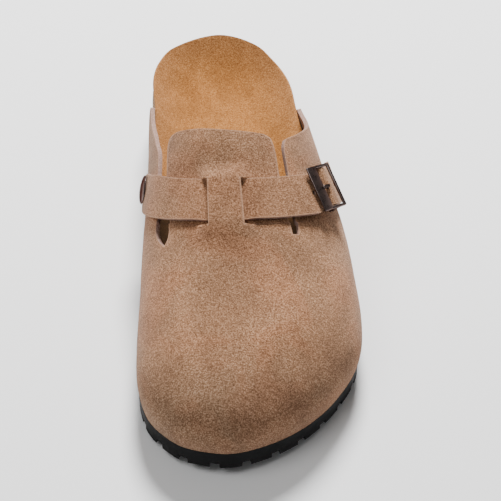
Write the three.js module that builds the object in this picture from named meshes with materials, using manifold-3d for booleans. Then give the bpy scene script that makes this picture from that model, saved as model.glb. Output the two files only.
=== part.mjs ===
// A backless suede clog with a contoured cork footbed and an instep strap with a buckle, for the left foot.
// Millimetres, +Z up. The toe points to -Y and the outer side of the foot is +X.
import * as THREE from "three";
import { mergeVertices } from "three/addons/utils/BufferGeometryUtils.js";
import Module from "manifold-3d";

const wasm = await Module();
wasm.setup();

// Driving dimensions of the shoe
const LENGTH = 268;
const BALL_WIDTH = 112;
const HEEL_WIDTH = 77;
const INSTEP_HEIGHT = 88;

// Sole and footbed
const SOLE_THICKNESS = 9;
const TOE_SPRING = 8;
const SPRING_LENGTH = 74;
const HEEL_BEVEL = 2;
const HEEL_BEVEL_LENGTH = 22;
const HEEL_SEAT = 16;
const CUP_DEPTH = 13;
const CORK_BULGE = 1.2;
const LINER = 1.4;

// Tread
const NOTCH_WIDTH = 4.6;
const NOTCH_REACH = 9;
const NOTCH_DEPTH = 2.6;
const LUG_PITCH = 16;
const WAVE_PITCH = 19;
const WAVE_WIDTH = 3.4;
const WAVE_HEIGHT = 4;
const WAVE_LENGTH = 30;
const WAVE_MARGIN = 14;

// Upper
const LEATHER = 2.2;
const GAP = 0.3;
const BRIDGE_WIDTH = 16.6;
const BRIDGE_AT = -0.2;
const BRIDGE_FLANK = 1.6;
const BRIDGE_RAMP = 6;
const BRIDGE_PLAY = 0.8;
const BRIDGE_SINK = 1.7;
const SLIT_WIDTH = 2.2;

// Strap
const STRAP_WIDTH = 21.6;
const STRAP_THICKNESS = 2;
const STRAP_ALONG = 0.438;
const STRAP_LEAN = 45;
const STRAP_SWEEP = 0.005;
const STRAP_TAPER = 1.6;
const STRAP_CORNER = 9;
const STRAP_INNER_END = 74;
const STRAP_INNER_NARROWING = 2.4;
const STRAP_TAIL = 38;
const STRAP_RISE = 6;
const HOLE_RADIUS = 1.6;
const HOLE_PITCH = 8;

// Rivet that holds the strap on the inner side
const RIVET_AT = 65.5;
const RIVET_RADIUS = 7.6;
const RIVET_DOME = 2.6;
const RIVET_SHANK = 2;
const WASHER_RADIUS = 4.5;
const WASHER_THICKNESS = 1;

// Buckle. Places along it are from its centre bar towards the strap's tail.
const BUCKLE_AT = 56.1;
const BUCKLE_TILT = 9;
const BUCKLE_SHIFT = 1.4;
const PLATE = { from: -11, to: -3.9, low: 6.2, high: 7.5, chamfer: 0.5 };
const OUTER_BAR = { at: 5.6, height: 7.2, radius: 0.9 };
const CENTRE_BAR = { height: 2.6, radius: 0.8 };
const ARM = { from: -5.4, inside: 0.4, width: 1.5, thickness: 1.6, splay: 0.9 };
const TAB_WIDTH = 12;
const TAB_THICKNESS = 0.8;
const TAB_LENGTH = 22;
const SLOT_WIDTH = 2.6;
const PRONG_WIDTH = 1.6;
const PRONG_THICKNESS = 0.9;
const PRONG_LENGTH = 5.8;
const PRONG_AT = -1.25;
const TAB_HEIGHT = CENTRE_BAR.height - CENTRE_BAR.radius - GAP - TAB_THICKNESS;
const STRAP_HUMP = CENTRE_BAR.height + CENTRE_BAR.radius + GAP + TAB_THICKNESS + 3 * GAP;

// The sole's outline from the toe round the outer side to the heel and back. A row gives a place along the
// shoe from the toe, and its distance across as a share of the ball width plus a share of the heel width.
const OUTLINE = [
  { along: 0.0, ball: -0.07, heel: 0 },
  { along: 0.02, ball: 0.085, heel: 0 },
  { along: 0.053, ball: 0.22, heel: 0 },
  { along: 0.096, ball: 0.335, heel: 0 },
  { along: 0.15, ball: 0.435, heel: 0 },
  { along: 0.22, ball: 0.522, heel: 0 },
  { along: 0.3, ball: 0.545, heel: 0 },
  { along: 0.4, ball: 0.53, heel: 0 },
  { along: 0.5, ball: 0.26, heel: 0.35 },
  { along: 0.64, ball: 0.11, heel: 0.47 },
  { along: 0.77, ball: 0, heel: 0.535 },
  { along: 0.86, ball: 0, heel: 0.47 },
  { along: 0.93, ball: 0, heel: 0.348 },
  { along: 0.972, ball: 0, heel: 0.24 },
  { along: 1.0, ball: 0, heel: 0 },
  { along: 0.965, ball: 0, heel: -0.325 },
  { along: 0.93, ball: 0, heel: -0.416 },
  { along: 0.88, ball: 0, heel: -0.475 },
  { along: 0.8, ball: 0, heel: -0.5 },
  { along: 0.68, ball: -0.07, heel: -0.42 },
  { along: 0.5, ball: -0.22, heel: -0.25 },
  { along: 0.37, ball: -0.42, heel: 0 },
  { along: 0.25, ball: -0.445, heel: 0 },
  { along: 0.155, ball: -0.45, heel: 0 },
  { along: 0.096, ball: -0.42, heel: 0 },
  { along: 0.056, ball: -0.362, heel: 0 },
  { along: 0.025, ball: -0.288, heel: 0 },
  { along: 0.008, ball: -0.195, heel: 0 },
];

// Sections of the last. ridge is the height of the top line and lean how far back a section's sides go, as
// shares of the instep height. shift is the top line's place across and bulge the side's swell, as shares of
// the ball width. square and crown say how boxy a section is across and upwards.
const LAST = [
  { along: 0.0, ridge: 0.52, lean: 0, shift: -0.05, bulge: 0.02, square: 2.5, crown: 2.3 },
  { along: 0.1, ridge: 0.565, lean: 0, shift: -0.05, bulge: 0.025, square: 2.5, crown: 2.3 },
  { along: 0.19, ridge: 0.605, lean: 0, shift: -0.05, bulge: 0.03, square: 2.45, crown: 2.25 },
  { along: 0.28, ridge: 0.66, lean: 0.12, shift: -0.05, bulge: 0.03, square: 2.35, crown: 2.2 },
  { along: 0.36, ridge: 0.73, lean: 0.28, shift: -0.05, bulge: 0.03, square: 2.3, crown: 2.15 },
  { along: 0.44, ridge: 0.815, lean: 0.4, shift: -0.052, bulge: 0.035, square: 2.25, crown: 2.1 },
  { along: 0.5, ridge: 0.895, lean: 0.42, shift: -0.055, bulge: 0.035, square: 2.2, crown: 2.05 },
  { along: 0.565, ridge: 0.99, lean: 0.4, shift: -0.06, bulge: 0.03, square: 2.15, crown: 2.0 },
  { along: 0.66, ridge: 1.08, lean: 0.28, shift: -0.055, bulge: 0.03, square: 2.1, crown: 1.95 },
  { along: 0.74, ridge: 1.1, lean: 0.14, shift: -0.045, bulge: 0.03, square: 2.1, crown: 1.95 },
  { along: 0.81, ridge: 1.1, lean: 0.05, shift: -0.03, bulge: 0.03, square: 2.1, crown: 1.95 },
  { along: 0.86, ridge: 1.1, lean: 0.05, shift: -0.02, bulge: 0.03, square: 2.1, crown: 1.95 },
];

// The upper's pattern. Across places are shares of a section from its top line, negative on the inner side:
// the flaps' edges at the slits, and the tongue's edges beside them. skew is how much further back the cut
// runs on the inner side than on the outer, as a share of the length.
const PATTERN = [
  { along: 0.0, skew: 0, innerFlap: -0.48, innerTongue: -0.45, outerTongue: 0.29, outerFlap: 0.32 },
  { along: 0.366, skew: 0, innerFlap: -0.475, innerTongue: -0.45, outerTongue: 0.295, outerFlap: 0.315 },
  { along: 0.378, skew: 0, innerFlap: -0.522, innerTongue: -0.43, outerTongue: 0.29, outerFlap: 0.322 },
  { along: 0.392, skew: 0, innerFlap: -0.548, innerTongue: -0.42, outerTongue: 0.285, outerFlap: 0.327 },
  { along: 0.41, skew: 0, innerFlap: -0.546, innerTongue: -0.43, outerTongue: 0.283, outerFlap: 0.32 },
  { along: 0.45, skew: 0, innerFlap: -0.55, innerTongue: -0.45, outerTongue: 0.265, outerFlap: 0.31 },
  { along: 0.49, skew: 0, innerFlap: -0.558, innerTongue: -0.455, outerTongue: 0.262, outerFlap: 0.314 },
  { along: 0.53, skew: 0.03, innerFlap: -0.565, innerTongue: -0.46, outerTongue: 0.264, outerFlap: 0.317 },
  { along: 0.545, skew: 0.04, innerFlap: -0.58, innerTongue: -0.45, outerTongue: 0.258, outerFlap: 0.32 },
  { along: 0.555, skew: 0.045, innerFlap: -0.592, innerTongue: -0.432, outerTongue: 0.243, outerFlap: 0.328 },
  { along: 0.561, skew: 0.045, innerFlap: -0.6, innerTongue: -0.405, outerTongue: 0.222, outerFlap: 0.336 },
  { along: 0.565, skew: 0.045, innerFlap: -0.607, innerTongue: -0.355, outerTongue: 0.187, outerFlap: 0.343 },
  { along: 0.59, skew: 0.042, innerFlap: -0.64, innerTongue: -0.2, outerTongue: 0.15, outerFlap: 0.43 },
  { along: 0.641, skew: 0.03, innerFlap: -0.69, innerTongue: -0.2, outerTongue: 0.15, outerFlap: 0.6 },
  { along: 0.7, skew: 0.01, innerFlap: -0.72, innerTongue: -0.2, outerTongue: 0.15, outerFlap: 0.71 },
  { along: 0.76, skew: 0, innerFlap: -0.74, innerTongue: -0.2, outerTongue: 0.15, outerFlap: 0.765 },
  { along: 0.777, skew: 0, innerFlap: -0.75, innerTongue: -0.2, outerTongue: 0.15, outerFlap: 0.775 },
  { along: 0.783, skew: 0, innerFlap: -0.78, innerTongue: -0.2, outerTongue: 0.15, outerFlap: 0.81 },
];
const SLIT_START = { inner: 0.366, outer: 0.375 };
const TONGUE_END = 0.565;
const WING_END = 0.783;

// The footbed's top over the sole: the seat along its middle, and the rise of its inner and outer rims,
// as shares of the heel seat and of the cup's depth.
const FOOTBED = [
  { along: 0.0, seat: 0.38, innerRise: 0.08, outerRise: 0.08 },
  { along: 0.12, seat: 0.4, innerRise: 0.15, outerRise: 0.15 },
  { along: 0.22, seat: 0.48, innerRise: 0.2, outerRise: 0.18 },
  { along: 0.3, seat: 0.48, innerRise: 0.3, outerRise: 0.22 },
  { along: 0.42, seat: 0.68, innerRise: 0.5, outerRise: 0.35 },
  { along: 0.55, seat: 0.9, innerRise: 0.7, outerRise: 0.45 },
  { along: 0.7, seat: 1.0, innerRise: 0.9, outerRise: 0.7 },
  { along: 0.83, seat: 1.0, innerRise: 1.0, outerRise: 1.0 },
  { along: 0.93, seat: 1.05, innerRise: 1.0, outerRise: 1.0 },
  { along: 1.0, seat: 1.2, innerRise: 0.85, outerRise: 0.85 },
];
const RIM_SHARPNESS = 2.6;

// How far the strap's underside stands off the upper at distances from the buckle's bar, towards the tail.
const STRAP_LIFT = [
  { along: -32, lift: GAP },
  { along: -12, lift: 2.3 },
  { along: -4.6, lift: 2.7 },
  { along: -1.6, lift: STRAP_HUMP - 0.2 },
  { along: 0, lift: STRAP_HUMP },
  { along: 1.6, lift: STRAP_HUMP - 0.2 },
  { along: 4.6, lift: 2.7 },
  { along: 12, lift: TAB_HEIGHT + TAB_THICKNESS + GAP },
];

const OUTLINE_STEPS = 360;
const TOE_CENTRE = 0.19;
const HEEL_CENTRE = 0.86;

const yAt = (along) => (along - 0.5) * LENGTH;
const alongAt = (y) => y / LENGTH + 0.5;
const blend = (from, to, value) => THREE.MathUtils.smoothstep(value, from, to);

// A smooth value of one column of a table, through its rows.
function column(table, name, at) {
  const last = table.length - 1;
  if (at <= table[0].along) return table[0][name];
  if (at >= table[last].along) return table[last][name];
  const i = table.findIndex((row) => row.along > at) - 1;
  const slope = (k) => {
    const before = table[Math.max(k - 1, 0)];
    const after = table[Math.min(k + 1, last)];
    return (after[name] - before[name]) / (after.along - before.along);
  };
  const span = table[i + 1].along - table[i].along;
  const t = (at - table[i].along) / span;
  const start = table[i][name] * (1 + 2 * t) * (1 - t) ** 2 + slope(i) * span * t * (1 - t) ** 2;
  const end = table[i + 1][name] * t * t * (3 - 2 * t) + slope(i + 1) * span * t * t * (t - 1);
  return start + end;
}

// The closed outline of the sole, counter-clockwise from the toe.
function soleOutline() {
  const corners = OUTLINE.map(
    (row) => new THREE.Vector3(row.ball * BALL_WIDTH + row.heel * HEEL_WIDTH, yAt(row.along), 0),
  );
  const curve = new THREE.CatmullRomCurve3(corners, true, "centripetal");
  return curve.getSpacedPoints(OUTLINE_STEPS).slice(0, -1);
}

// The outline moved inwards by a distance that may change along the shoe.
function inset(outline, distance) {
  return outline.map((point, i) => {
    const before = outline.at(i - 1);
    const after = outline[(i + 1) % outline.length];
    const along = after.clone().sub(before).normalize();
    const inward = new THREE.Vector3(-along.y, along.x, 0);
    return point.clone().addScaledVector(inward, distance(point.y));
  });
}

// The distance from a point to the outline in a direction.
function reachTo(outline, from, direction) {
  let reach = 0;
  outline.forEach((a, i) => {
    const b = outline[(i + 1) % outline.length];
    const [ex, ey] = [b.x - a.x, b.y - a.y];
    const cross = direction.x * ey - direction.y * ex;
    if (Math.abs(cross) < 1e-12) return;
    const far = ((a.x - from.x) * ey - (a.y - from.y) * ex) / cross;
    const share = ((a.x - from.x) * direction.y - (a.y - from.y) * direction.x) / cross;
    if (share >= -1e-9 && share <= 1 + 1e-9) reach = Math.max(reach, far);
  });
  return reach;
}

const RIGHT = new THREE.Vector3(1, 0, 0);
const LEFT = new THREE.Vector3(-1, 0, 0);
const feather = soleOutline();

function middleOf(outline, y) {
  const from = new THREE.Vector3(0, y, 0);
  return (reachTo(outline, from, RIGHT) - reachTo(outline, from, LEFT)) / 2;
}

// One place of a grid over the outline: where its ray starts, its direction, its reach and its share of it.
// The rounded ends are half discs whose rays fan out from the end's centre.
function gridRay(outline, row, across, spineAt) {
  const centre = new THREE.Vector3(spineAt(row.y), row.y, 0);
  const side = across < 0 ? LEFT : RIGHT;
  if (!row.fan) {
    return { centre, direction: side, reach: reachTo(outline, centre, side), share: Math.abs(across) };
  }
  const sideways = across * Math.sqrt(1 - row.fan ** 2 / 2);
  const forwards = row.fan * Math.sqrt(1 - across ** 2 / 2);
  const ahead = new THREE.Vector3(0, row.end, 0);
  const direction = new THREE.Vector3(
    sideways * reachTo(outline, centre, side),
    row.end * forwards * reachTo(outline, centre, ahead),
    0,
  ).normalize();
  const share = Math.min(1, Math.hypot(sideways, forwards));
  return { centre, direction, reach: reachTo(outline, centre, direction), share };
}

const fanRows = (count, along, end) =>
  Array.from({ length: count }, (_, i) => ({ y: yAt(along), fan: (count - i) / count, end }));
const steps = (from, to, count) =>
  Array.from({ length: count + 1 }, (_, i) => THREE.MathUtils.lerp(from, to, i / count));

// Height of the outsole's underside and top.
function treadHeight(y) {
  const toe = Math.max(0, yAt(0) + SPRING_LENGTH - y) / SPRING_LENGTH;
  const heel = Math.max(0, y - yAt(1) + HEEL_BEVEL_LENGTH) / HEEL_BEVEL_LENGTH;
  return TOE_SPRING * toe ** 2 + HEEL_BEVEL * heel ** 2;
}
function soleTop(y) {
  const toe = Math.max(0, yAt(0) + SPRING_LENGTH - y) / SPRING_LENGTH;
  return SOLE_THICKNESS + TOE_SPRING * toe ** 2;
}

// Quads of a grid of rows and columns, where keep says which cells are there.
function gridQuads(rows, columns, keep = () => true) {
  const quads = [];
  for (let i = 0; i < rows - 1; i++) {
    for (let j = 0; j < columns - 1; j++) {
      const k = i * columns + j;
      if (keep(i, j)) quads.push([k, k + 1, k + 1 + columns, k + columns]);
    }
  }
  return quads;
}

// A closed solid between a top and an underside that share their quads, with rings between at the rim.
function solidBetween(top, underside, quads, rings = []) {
  const layers = [top, ...rings, underside];
  const count = top.length;
  const positions = layers.flat().flatMap((p) => [p.x, p.y, p.z]);
  const bottom = (layers.length - 1) * count;
  const index = [];
  const face = (a, b, c, d) => index.push(a, b, c, a, c, d);
  const edges = new Map();
  for (const quad of quads) {
    const [a, b, c, d] = quad;
    face(a, b, c, d);
    face(bottom + a, bottom + d, bottom + c, bottom + b);
    quad.forEach((from, i) => {
      const to = quad[(i + 1) % quad.length];
      if (!edges.delete(to + ":" + from)) edges.set(from + ":" + to, [from, to]);
    });
  }
  for (const [from, to] of edges.values()) {
    for (let layer = 0; layer < layers.length - 1; layer++) {
      const [high, low] = [layer * count, (layer + 1) * count];
      face(high + to, high + from, low + from, low + to);
    }
  }
  const geometry = new THREE.BufferGeometry();
  geometry.setAttribute("position", new THREE.Float32BufferAttribute(positions, 3));
  geometry.setIndex(index);
  return geometry;
}

// Unit normals of a sheet of quads.
function normalsOf(points, quads) {
  const geometry = new THREE.BufferGeometry();
  geometry.setAttribute(
    "position",
    new THREE.Float32BufferAttribute(
      points.flatMap((p) => [p.x, p.y, p.z]),
      3,
    ),
  );
  geometry.setIndex(quads.flatMap(([a, b, c, d]) => [a, b, c, a, c, d]));
  geometry.computeVertexNormals();
  const normals = geometry.getAttribute("normal");
  return points.map((_, i) => new THREE.Vector3().fromBufferAttribute(normals, i));
}

const offset = (points, normals, distance) =>
  points.map((p, i) => p.clone().addScaledVector(normals[i], distance(i)));

// Booleans on closed geometries
function solid(geometry) {
  const bare = geometry.clone();
  bare.deleteAttribute("normal");
  bare.deleteAttribute("uv");
  const merged = mergeVertices(bare, 1e-4);
  return new wasm.Manifold(
    new wasm.Mesh({
      numProp: 3,
      vertProperties: new Float32Array(merged.attributes.position.array),
      triVerts: new Uint32Array(merged.index.array),
    }),
  );
}
function geometryOf(manifold) {
  const mesh = manifold.getMesh();
  const geometry = new THREE.BufferGeometry();
  geometry.setAttribute("position", new THREE.BufferAttribute(mesh.vertProperties, 3));
  geometry.setIndex(new THREE.BufferAttribute(mesh.triVerts, 1));
  return geometry;
}
const without = (body, ...cutters) =>
  geometryOf(cutters.reduce((left, cutter) => left.subtract(solid(cutter)), solid(body)));
const joined = (...bodies) => geometryOf(bodies.map(solid).reduce((all, body) => all.add(body)));

// A flat or contoured plate over an outline, with a height for its top and its underside.
function plate(outline, columns, bodyRows, endRows, topAt, undersideAt, rimRings = []) {
  const rows = [
    ...fanRows(endRows, TOE_CENTRE, -1),
    ...steps(yAt(TOE_CENTRE), yAt(HEEL_CENTRE), bodyRows).map((y) => ({ y })),
    ...fanRows(endRows, HEEL_CENTRE, 1).reverse(),
  ];
  const rays = rows.flatMap((row) =>
    steps(-1, 1, columns).map((across) =>
      gridRay(outline, row, across, (y) => middleOf(outline, y)),
    ),
  );
  const plan = rays.map((ray) => ray.centre.clone().addScaledVector(ray.direction, ray.reach * ray.share));
  const at = (height) => plan.map((p, i) => new THREE.Vector3(p.x, p.y, height(p.y, rays[i])));
  const top = at(topAt);
  const underside = at(undersideAt);
  const rings = rimRings.map(({ level, swell }) =>
    plan.map((p, i) =>
      p
        .clone()
        .addScaledVector(rays[i].direction, swell(p.y))
        .setZ(THREE.MathUtils.lerp(top[i].z, underside[i].z, level)),
    ),
  );
  return solidBetween(top, underside, gridQuads(rows.length, columns + 1), rings);
}

// Outsole: a sheet of foam rubber with a toe spring, notched round its edge and grooved in waves across.
function outsole() {
  const slab = plate(feather, 12, 12, 6, soleTop, treadHeight);
  const cutters = [];
  const notches = Math.round(new THREE.CatmullRomCurve3(feather, true).getLength() / LUG_PITCH);
  for (let i = 0; i < notches; i++) {
    const k = Math.round(((i + 0.5) / notches) * feather.length) % feather.length;
    const along = feather[(k + 1) % feather.length].clone().sub(feather.at(k - 1)).normalize();
    const inward = new THREE.Vector3(-along.y, along.x, 0);
    const notch = new THREE.BoxGeometry(NOTCH_WIDTH, 2 * NOTCH_REACH, 2 * NOTCH_DEPTH);
    notch.rotateZ(Math.atan2(along.y, along.x));
    const middle = feather[k].clone();
    const deep = treadHeight(middle.clone().addScaledVector(inward, NOTCH_REACH / 2).y);
    notch.translate(middle.x, middle.y, deep);
    cutters.push(notch);
  }
  const first = yAt(0) + WAVE_PITCH;
  const count = Math.floor((LENGTH - 2 * WAVE_PITCH) / WAVE_PITCH);
  for (let i = 0; i <= count; i++) cutters.push(waveGroove(first + i * WAVE_PITCH));
  return without(slab, ...cutters);
}

// One groove across the tread, in waves.
function waveGroove(y) {
  const from = new THREE.Vector3(0, y, 0);
  const left = -reachTo(feather, from, LEFT) + WAVE_MARGIN;
  const right = reachTo(feather, from, RIGHT) - WAVE_MARGIN;
  const half = WAVE_LENGTH / 2;
  const turns = [];
  for (let x = -Math.floor(-left / half) * half; x < right; x += half) turns.push(x);
  const places = [left, ...turns.filter((x) => x > left + 1 && x < right - 1), right];
  const wave = (x) => (WAVE_HEIGHT / 2) * Math.cos((Math.PI * x) / half);
  const shape = new THREE.Shape([
    ...places.map((x) => new THREE.Vector2(x, wave(x) - WAVE_WIDTH / 2)),
    ...places.toReversed().map((x) => new THREE.Vector2(x, wave(x) + WAVE_WIDTH / 2)),
  ]);
  const groove = new THREE.ExtrudeGeometry(shape, { depth: 2 * NOTCH_DEPTH, bevelEnabled: false });
  groove.translate(0, y, treadHeight(y) - NOTCH_DEPTH);
  return groove;
}

// The last's surface, which is the outside of the upper.
// Its sections lean back towards their sides.
const ridgeAt = (y) => BALL_WIDTH * column(LAST, "shift", alongAt(y));
function lastPoint(row, across) {
  const drop = 1 - Math.max(0, Math.cos((across * Math.PI) / 2));
  const lean = row.fan ? 0 : INSTEP_HEIGHT * column(LAST, "lean", alongAt(row.y)) * drop;
  const section = { ...row, y: row.y + lean };
  const { centre, direction, reach, share } = gridRay(feather, section, across, ridgeAt);
  const near = alongAt(section.y + direction.y * reach * share);
  const turn = (share * Math.PI) / 2;
  const up = Math.max(0, Math.cos(turn)) ** (2 / column(LAST, "crown", near));
  const swell = BALL_WIDTH * column(LAST, "bulge", near) * Math.sin(Math.PI * Math.min(1, up));
  const out = reach * Math.sin(turn) ** (2 / column(LAST, "square", near)) + swell;
  const point = centre.clone().addScaledVector(direction, out);
  const foot = soleTop(centre.y + direction.y * reach) + GAP;
  const ridge = INSTEP_HEIGHT * column(LAST, "ridge", alongAt(point.y));
  return point.setZ(foot + (ridge - foot) * up);
}

// Cork footbed: inside the upper in front, and out to the sole's edge at the open heel.
const openHeel = (() => {
  const wing = Math.max(lastPoint({ y: yAt(WING_END) }, -1).y, lastPoint({ y: yAt(WING_END) }, 1).y);
  return (y) => blend(wing - 6, wing + 30, y);
})();
const footbedOutline = inset(feather, (y) => (LEATHER + 2 * GAP) * (1 - openHeel(y)));
function footbedTop(y, ray) {
  const at = alongAt(y);
  const inner = column(FOOTBED, "innerRise", at);
  const outer = column(FOOTBED, "outerRise", at);
  const outwards = (1 + ray.direction.x) / 2;
  const rise = CUP_DEPTH * THREE.MathUtils.lerp(inner, outer, outwards) * ray.share ** RIM_SHARPNESS;
  return soleTop(y) + GAP + HEEL_SEAT * column(FOOTBED, "seat", at) + rise;
}
const corkFootbed = () =>
  plate(footbedOutline, 8, 11, 4, footbedTop, (y) => soleTop(y) + GAP, [
    { level: 0.12, swell: (y) => CORK_BULGE * 0.5 * openHeel(y) },
    { level: 0.5, swell: (y) => CORK_BULGE * openHeel(y) },
  ]);
const insole = () =>
  plate(
    footbedOutline,
    8,
    11,
    4,
    (y, ray) => footbedTop(y, ray) + GAP + LINER,
    (y, ray) => footbedTop(y, ray) + GAP,
  );

// The strap lies in a band that leans back from the instep, and further as it goes down.
const strapCentre = lastPoint({ y: yAt(STRAP_ALONG) }, 0);
const strapAcross = new THREE.Vector3(
  0,
  Math.cos(THREE.MathUtils.degToRad(STRAP_LEAN)),
  Math.sin(THREE.MathUtils.degToRad(STRAP_LEAN)),
);
function bandPlace(point) {
  const way = point.clone().sub(strapCentre);
  return way.dot(strapAcross) - STRAP_SWEEP * way.z ** 2;
}

// The point of the last at a share across its section and a distance from the strap's middle plane.
function bandPoint(across, distance) {
  let [low, high] = [yAt(TOE_CENTRE), yAt(1) - 1];
  for (let i = 0; i < 40; i++) {
    const y = (low + high) / 2;
    if (bandPlace(lastPoint({ y }, across)) < distance) low = y;
    else high = y;
  }
  return lastPoint({ y: low }, across);
}

// Distances along the strap's middle line from the bridge, positive on the outer side, and the shares of the
// section that they fall on.
const strapWalk = (() => {
  const shares = steps(-0.97, 0.97, 80);
  const points = shares.map((share) => bandPoint(share, 0));
  const lengths = [0];
  for (let i = 1; i < points.length; i++) lengths.push(lengths[i - 1] + points[i].distanceTo(points[i - 1]));
  const middle = lengths[shares.length >> 1];
  return shares.map((share, i) => ({ along: lengths[i] - middle, share }));
})();
const shareAt = (distance) => column(strapWalk, "share", distance);

// A frame on the last under the strap: a point, the way along the strap, across it and out.
function strapFrame(distance) {
  const point = bandPoint(shareAt(distance), 0);
  const along = bandPoint(shareAt(distance + 1), 0).sub(bandPoint(shareAt(distance - 1), 0)).normalize();
  const sideways = bandPoint(shareAt(distance), 1).sub(bandPoint(shareAt(distance), -1));
  const out = along.clone().cross(sideways).normalize();
  const across = out.clone().cross(along);
  return { point, along, out, across, stretch: 2 / sideways.dot(across) };
}

// The point of the last at a distance along the strap and one straight across it.
function strapPlace(distance, sideways) {
  const { point, along, stretch } = strapFrame(distance);
  let way = distance;
  let place = bandPoint(shareAt(way), sideways * stretch);
  for (let i = 0; i < 4; i++) {
    way -= place.clone().sub(point).dot(along);
    place = bandPoint(shareAt(way), sideways * stretch);
  }
  return place;
}

function upper() {
  const columns = [
    ...steps(0, 1, 7).map((t) => (row) => THREE.MathUtils.lerp(-1, row.innerFlap, t)),
    ...steps(0, 1, 2).map((t) => (row) => THREE.MathUtils.lerp(row.innerTongue, row.innerFlank, t)),
    ...steps(0, 1, 4).map((t) => (row) => THREE.MathUtils.lerp(row.inner, row.outer, t)),
    ...steps(0, 1, 2).map((t) => (row) => THREE.MathUtils.lerp(row.outerFlank, row.outerTongue, t)),
    ...steps(0, 1, 7).map((t) => (row) => THREE.MathUtils.lerp(row.outerFlap, 1, t)),
  ];
  const gap = { inner: 7, outer: columns.length - 9 };
  const ys = [
    ...steps(yAt(TOE_CENTRE), yAt(SLIT_START.inner), 6),
    ...[SLIT_START.outer, 0.384, 0.392].map(yAt),
    ...steps(yAt(0.4), yAt(0.475), 6),
    ...[0.49, 0.51, 0.53, 0.545, 0.555, 0.561, TONGUE_END].map(yAt),
    ...[0.575, 0.59, 0.61, 0.635, 0.665, 0.7, 0.735, 0.765, 0.777, WING_END].map(yAt),
  ];
  const rows = [...fanRows(6, TOE_CENTRE, -1), ...ys.map((y) => ({ y }))];
  for (const row of rows) {
    const at = row.fan ? 0 : alongAt(row.y);
    for (const name of ["skew", "innerFlap", "innerTongue", "outerTongue", "outerFlap"]) {
      row[name] = column(PATTERN, name, at);
    }
    row.inner = shareAt(BRIDGE_AT - BRIDGE_WIDTH / 2);
    row.outer = shareAt(BRIDGE_AT + BRIDGE_WIDTH / 2);
    row.innerFlank = shareAt(BRIDGE_AT - BRIDGE_WIDTH / 2 - BRIDGE_FLANK);
    row.outerFlank = shareAt(BRIDGE_AT + BRIDGE_WIDTH / 2 + BRIDGE_FLANK);
  }
  const keep = (i, j) => {
    const middle = (rows[i].y + rows[i + 1].y) / 2;
    if (rows[i].fan) return true;
    if (j === gap.inner) return middle < yAt(SLIT_START.inner);
    if (j === gap.outer) return middle < yAt(SLIT_START.outer);
    return j < gap.inner || j > gap.outer || middle < yAt(TONGUE_END);
  };
  const quads = gridQuads(rows.length, columns.length, keep);
  const base = rows.flatMap((row) =>
    columns.map((place) => lastPoint({ ...row, y: row.y - row.skew * LENGTH * place(row) }, place(row))),
  );
  const normals = normalsOf(base, quads);
  base.forEach((point, i) => {
    const [row, place] = [rows[Math.floor(i / columns.length)], i % columns.length];
    if (row.fan === 1 || place === 0 || place === columns.length - 1) normals[i].setZ(0).normalize();
  });
  const raised = strapLift(BRIDGE_AT) + STRAP_THICKNESS + GAP + LEATHER;
  const bump = base.map((point, i) => {
    const share = columns[i % columns.length](rows[Math.floor(i / columns.length)]);
    const { inner, outer, innerFlank, outerFlank } = rows[0];
    const across = blend(innerFlank, inner, share) * (1 - blend(outer, outerFlank, share));
    const away = Math.abs(bandPlace(point)) - STRAP_WIDTH / 2 - BRIDGE_PLAY;
    return raised * across * (1 - blend(0, BRIDGE_RAMP, away));
  });
  const outside = offset(base, normals, (i) => bump[i]);
  const inside = offset(base, normals, (i) => bump[i] - LEATHER);
  return without(solidBetween(outside, inside, quads), ...bridgePassages(), rivetHole());
}

// What the strap passes through at the bridge: its own section with a gap all round, and the opening under
// the bridge, out to the slits that it dips into.
function bridgePassages() {
  const halfWidth = () => STRAP_WIDTH / 2 + BRIDGE_PLAY;
  const near = BRIDGE_WIDTH / 2;
  const places = [near + 8, near + 6, near + 4, near + 2.5, near + 1, near / 2];
  const ways = [...places.map((d) => -d), 0, ...places.toReversed()].map((d) => BRIDGE_AT + d);
  const open = steps(BRIDGE_AT - near - SLIT_WIDTH, BRIDGE_AT + near + SLIT_WIDTH, 6);
  return [
    strapStretch(ways, halfWidth, -GAP, STRAP_THICKNESS + GAP, strapLift),
    strapStretch(open, halfWidth, -LEATHER - 3 * GAP, 0),
  ];
}

// How far the strap's underside is from the upper, at a distance from the bridge. It dips under the bridge
// and rises over the buckle's centre bar.
function strapLift(distance) {
  const near = BRIDGE_WIDTH / 2;
  const sink = BRIDGE_SINK * (1 - blend(near + GAP, near + STRAP_RISE, Math.abs(distance - BRIDGE_AT)));
  return column(STRAP_LIFT, "lift", distance - BUCKLE_AT) - sink;
}

// How far the strap's back edge has come in towards its inner end.
const innerNarrowing = (distance) =>
  STRAP_INNER_NARROWING * (1 - blend(8 - STRAP_INNER_END, 30 - STRAP_INNER_END, distance));

// How far the strap's middle has drifted back, at a distance from the bridge. It meets the buckle's middle.
const strapDrift = (distance) =>
  BUCKLE_SHIFT * blend(BUCKLE_AT + PLATE.from, BUCKLE_AT + ARM.from - 1, distance) - innerNarrowing(distance) / 2;

// A stretch of band over the last, at distances along the strap, with its half width and the heights of its
// two faces over the upper.
function strapStretch(distances, halfWidth, low, high, lift = () => 0) {
  const rows = steps(1, -1, 3);
  const face = (height) =>
    distances.flatMap((d) => {
      const { out } = strapFrame(d);
      const place = (t) => strapPlace(d, strapDrift(d) + t * halfWidth(d));
      return rows.map((t) => place(t).addScaledVector(out, lift(d) + height));
    });
  return solidBetween(face(high), face(low), gridQuads(distances.length, rows.length));
}

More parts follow.
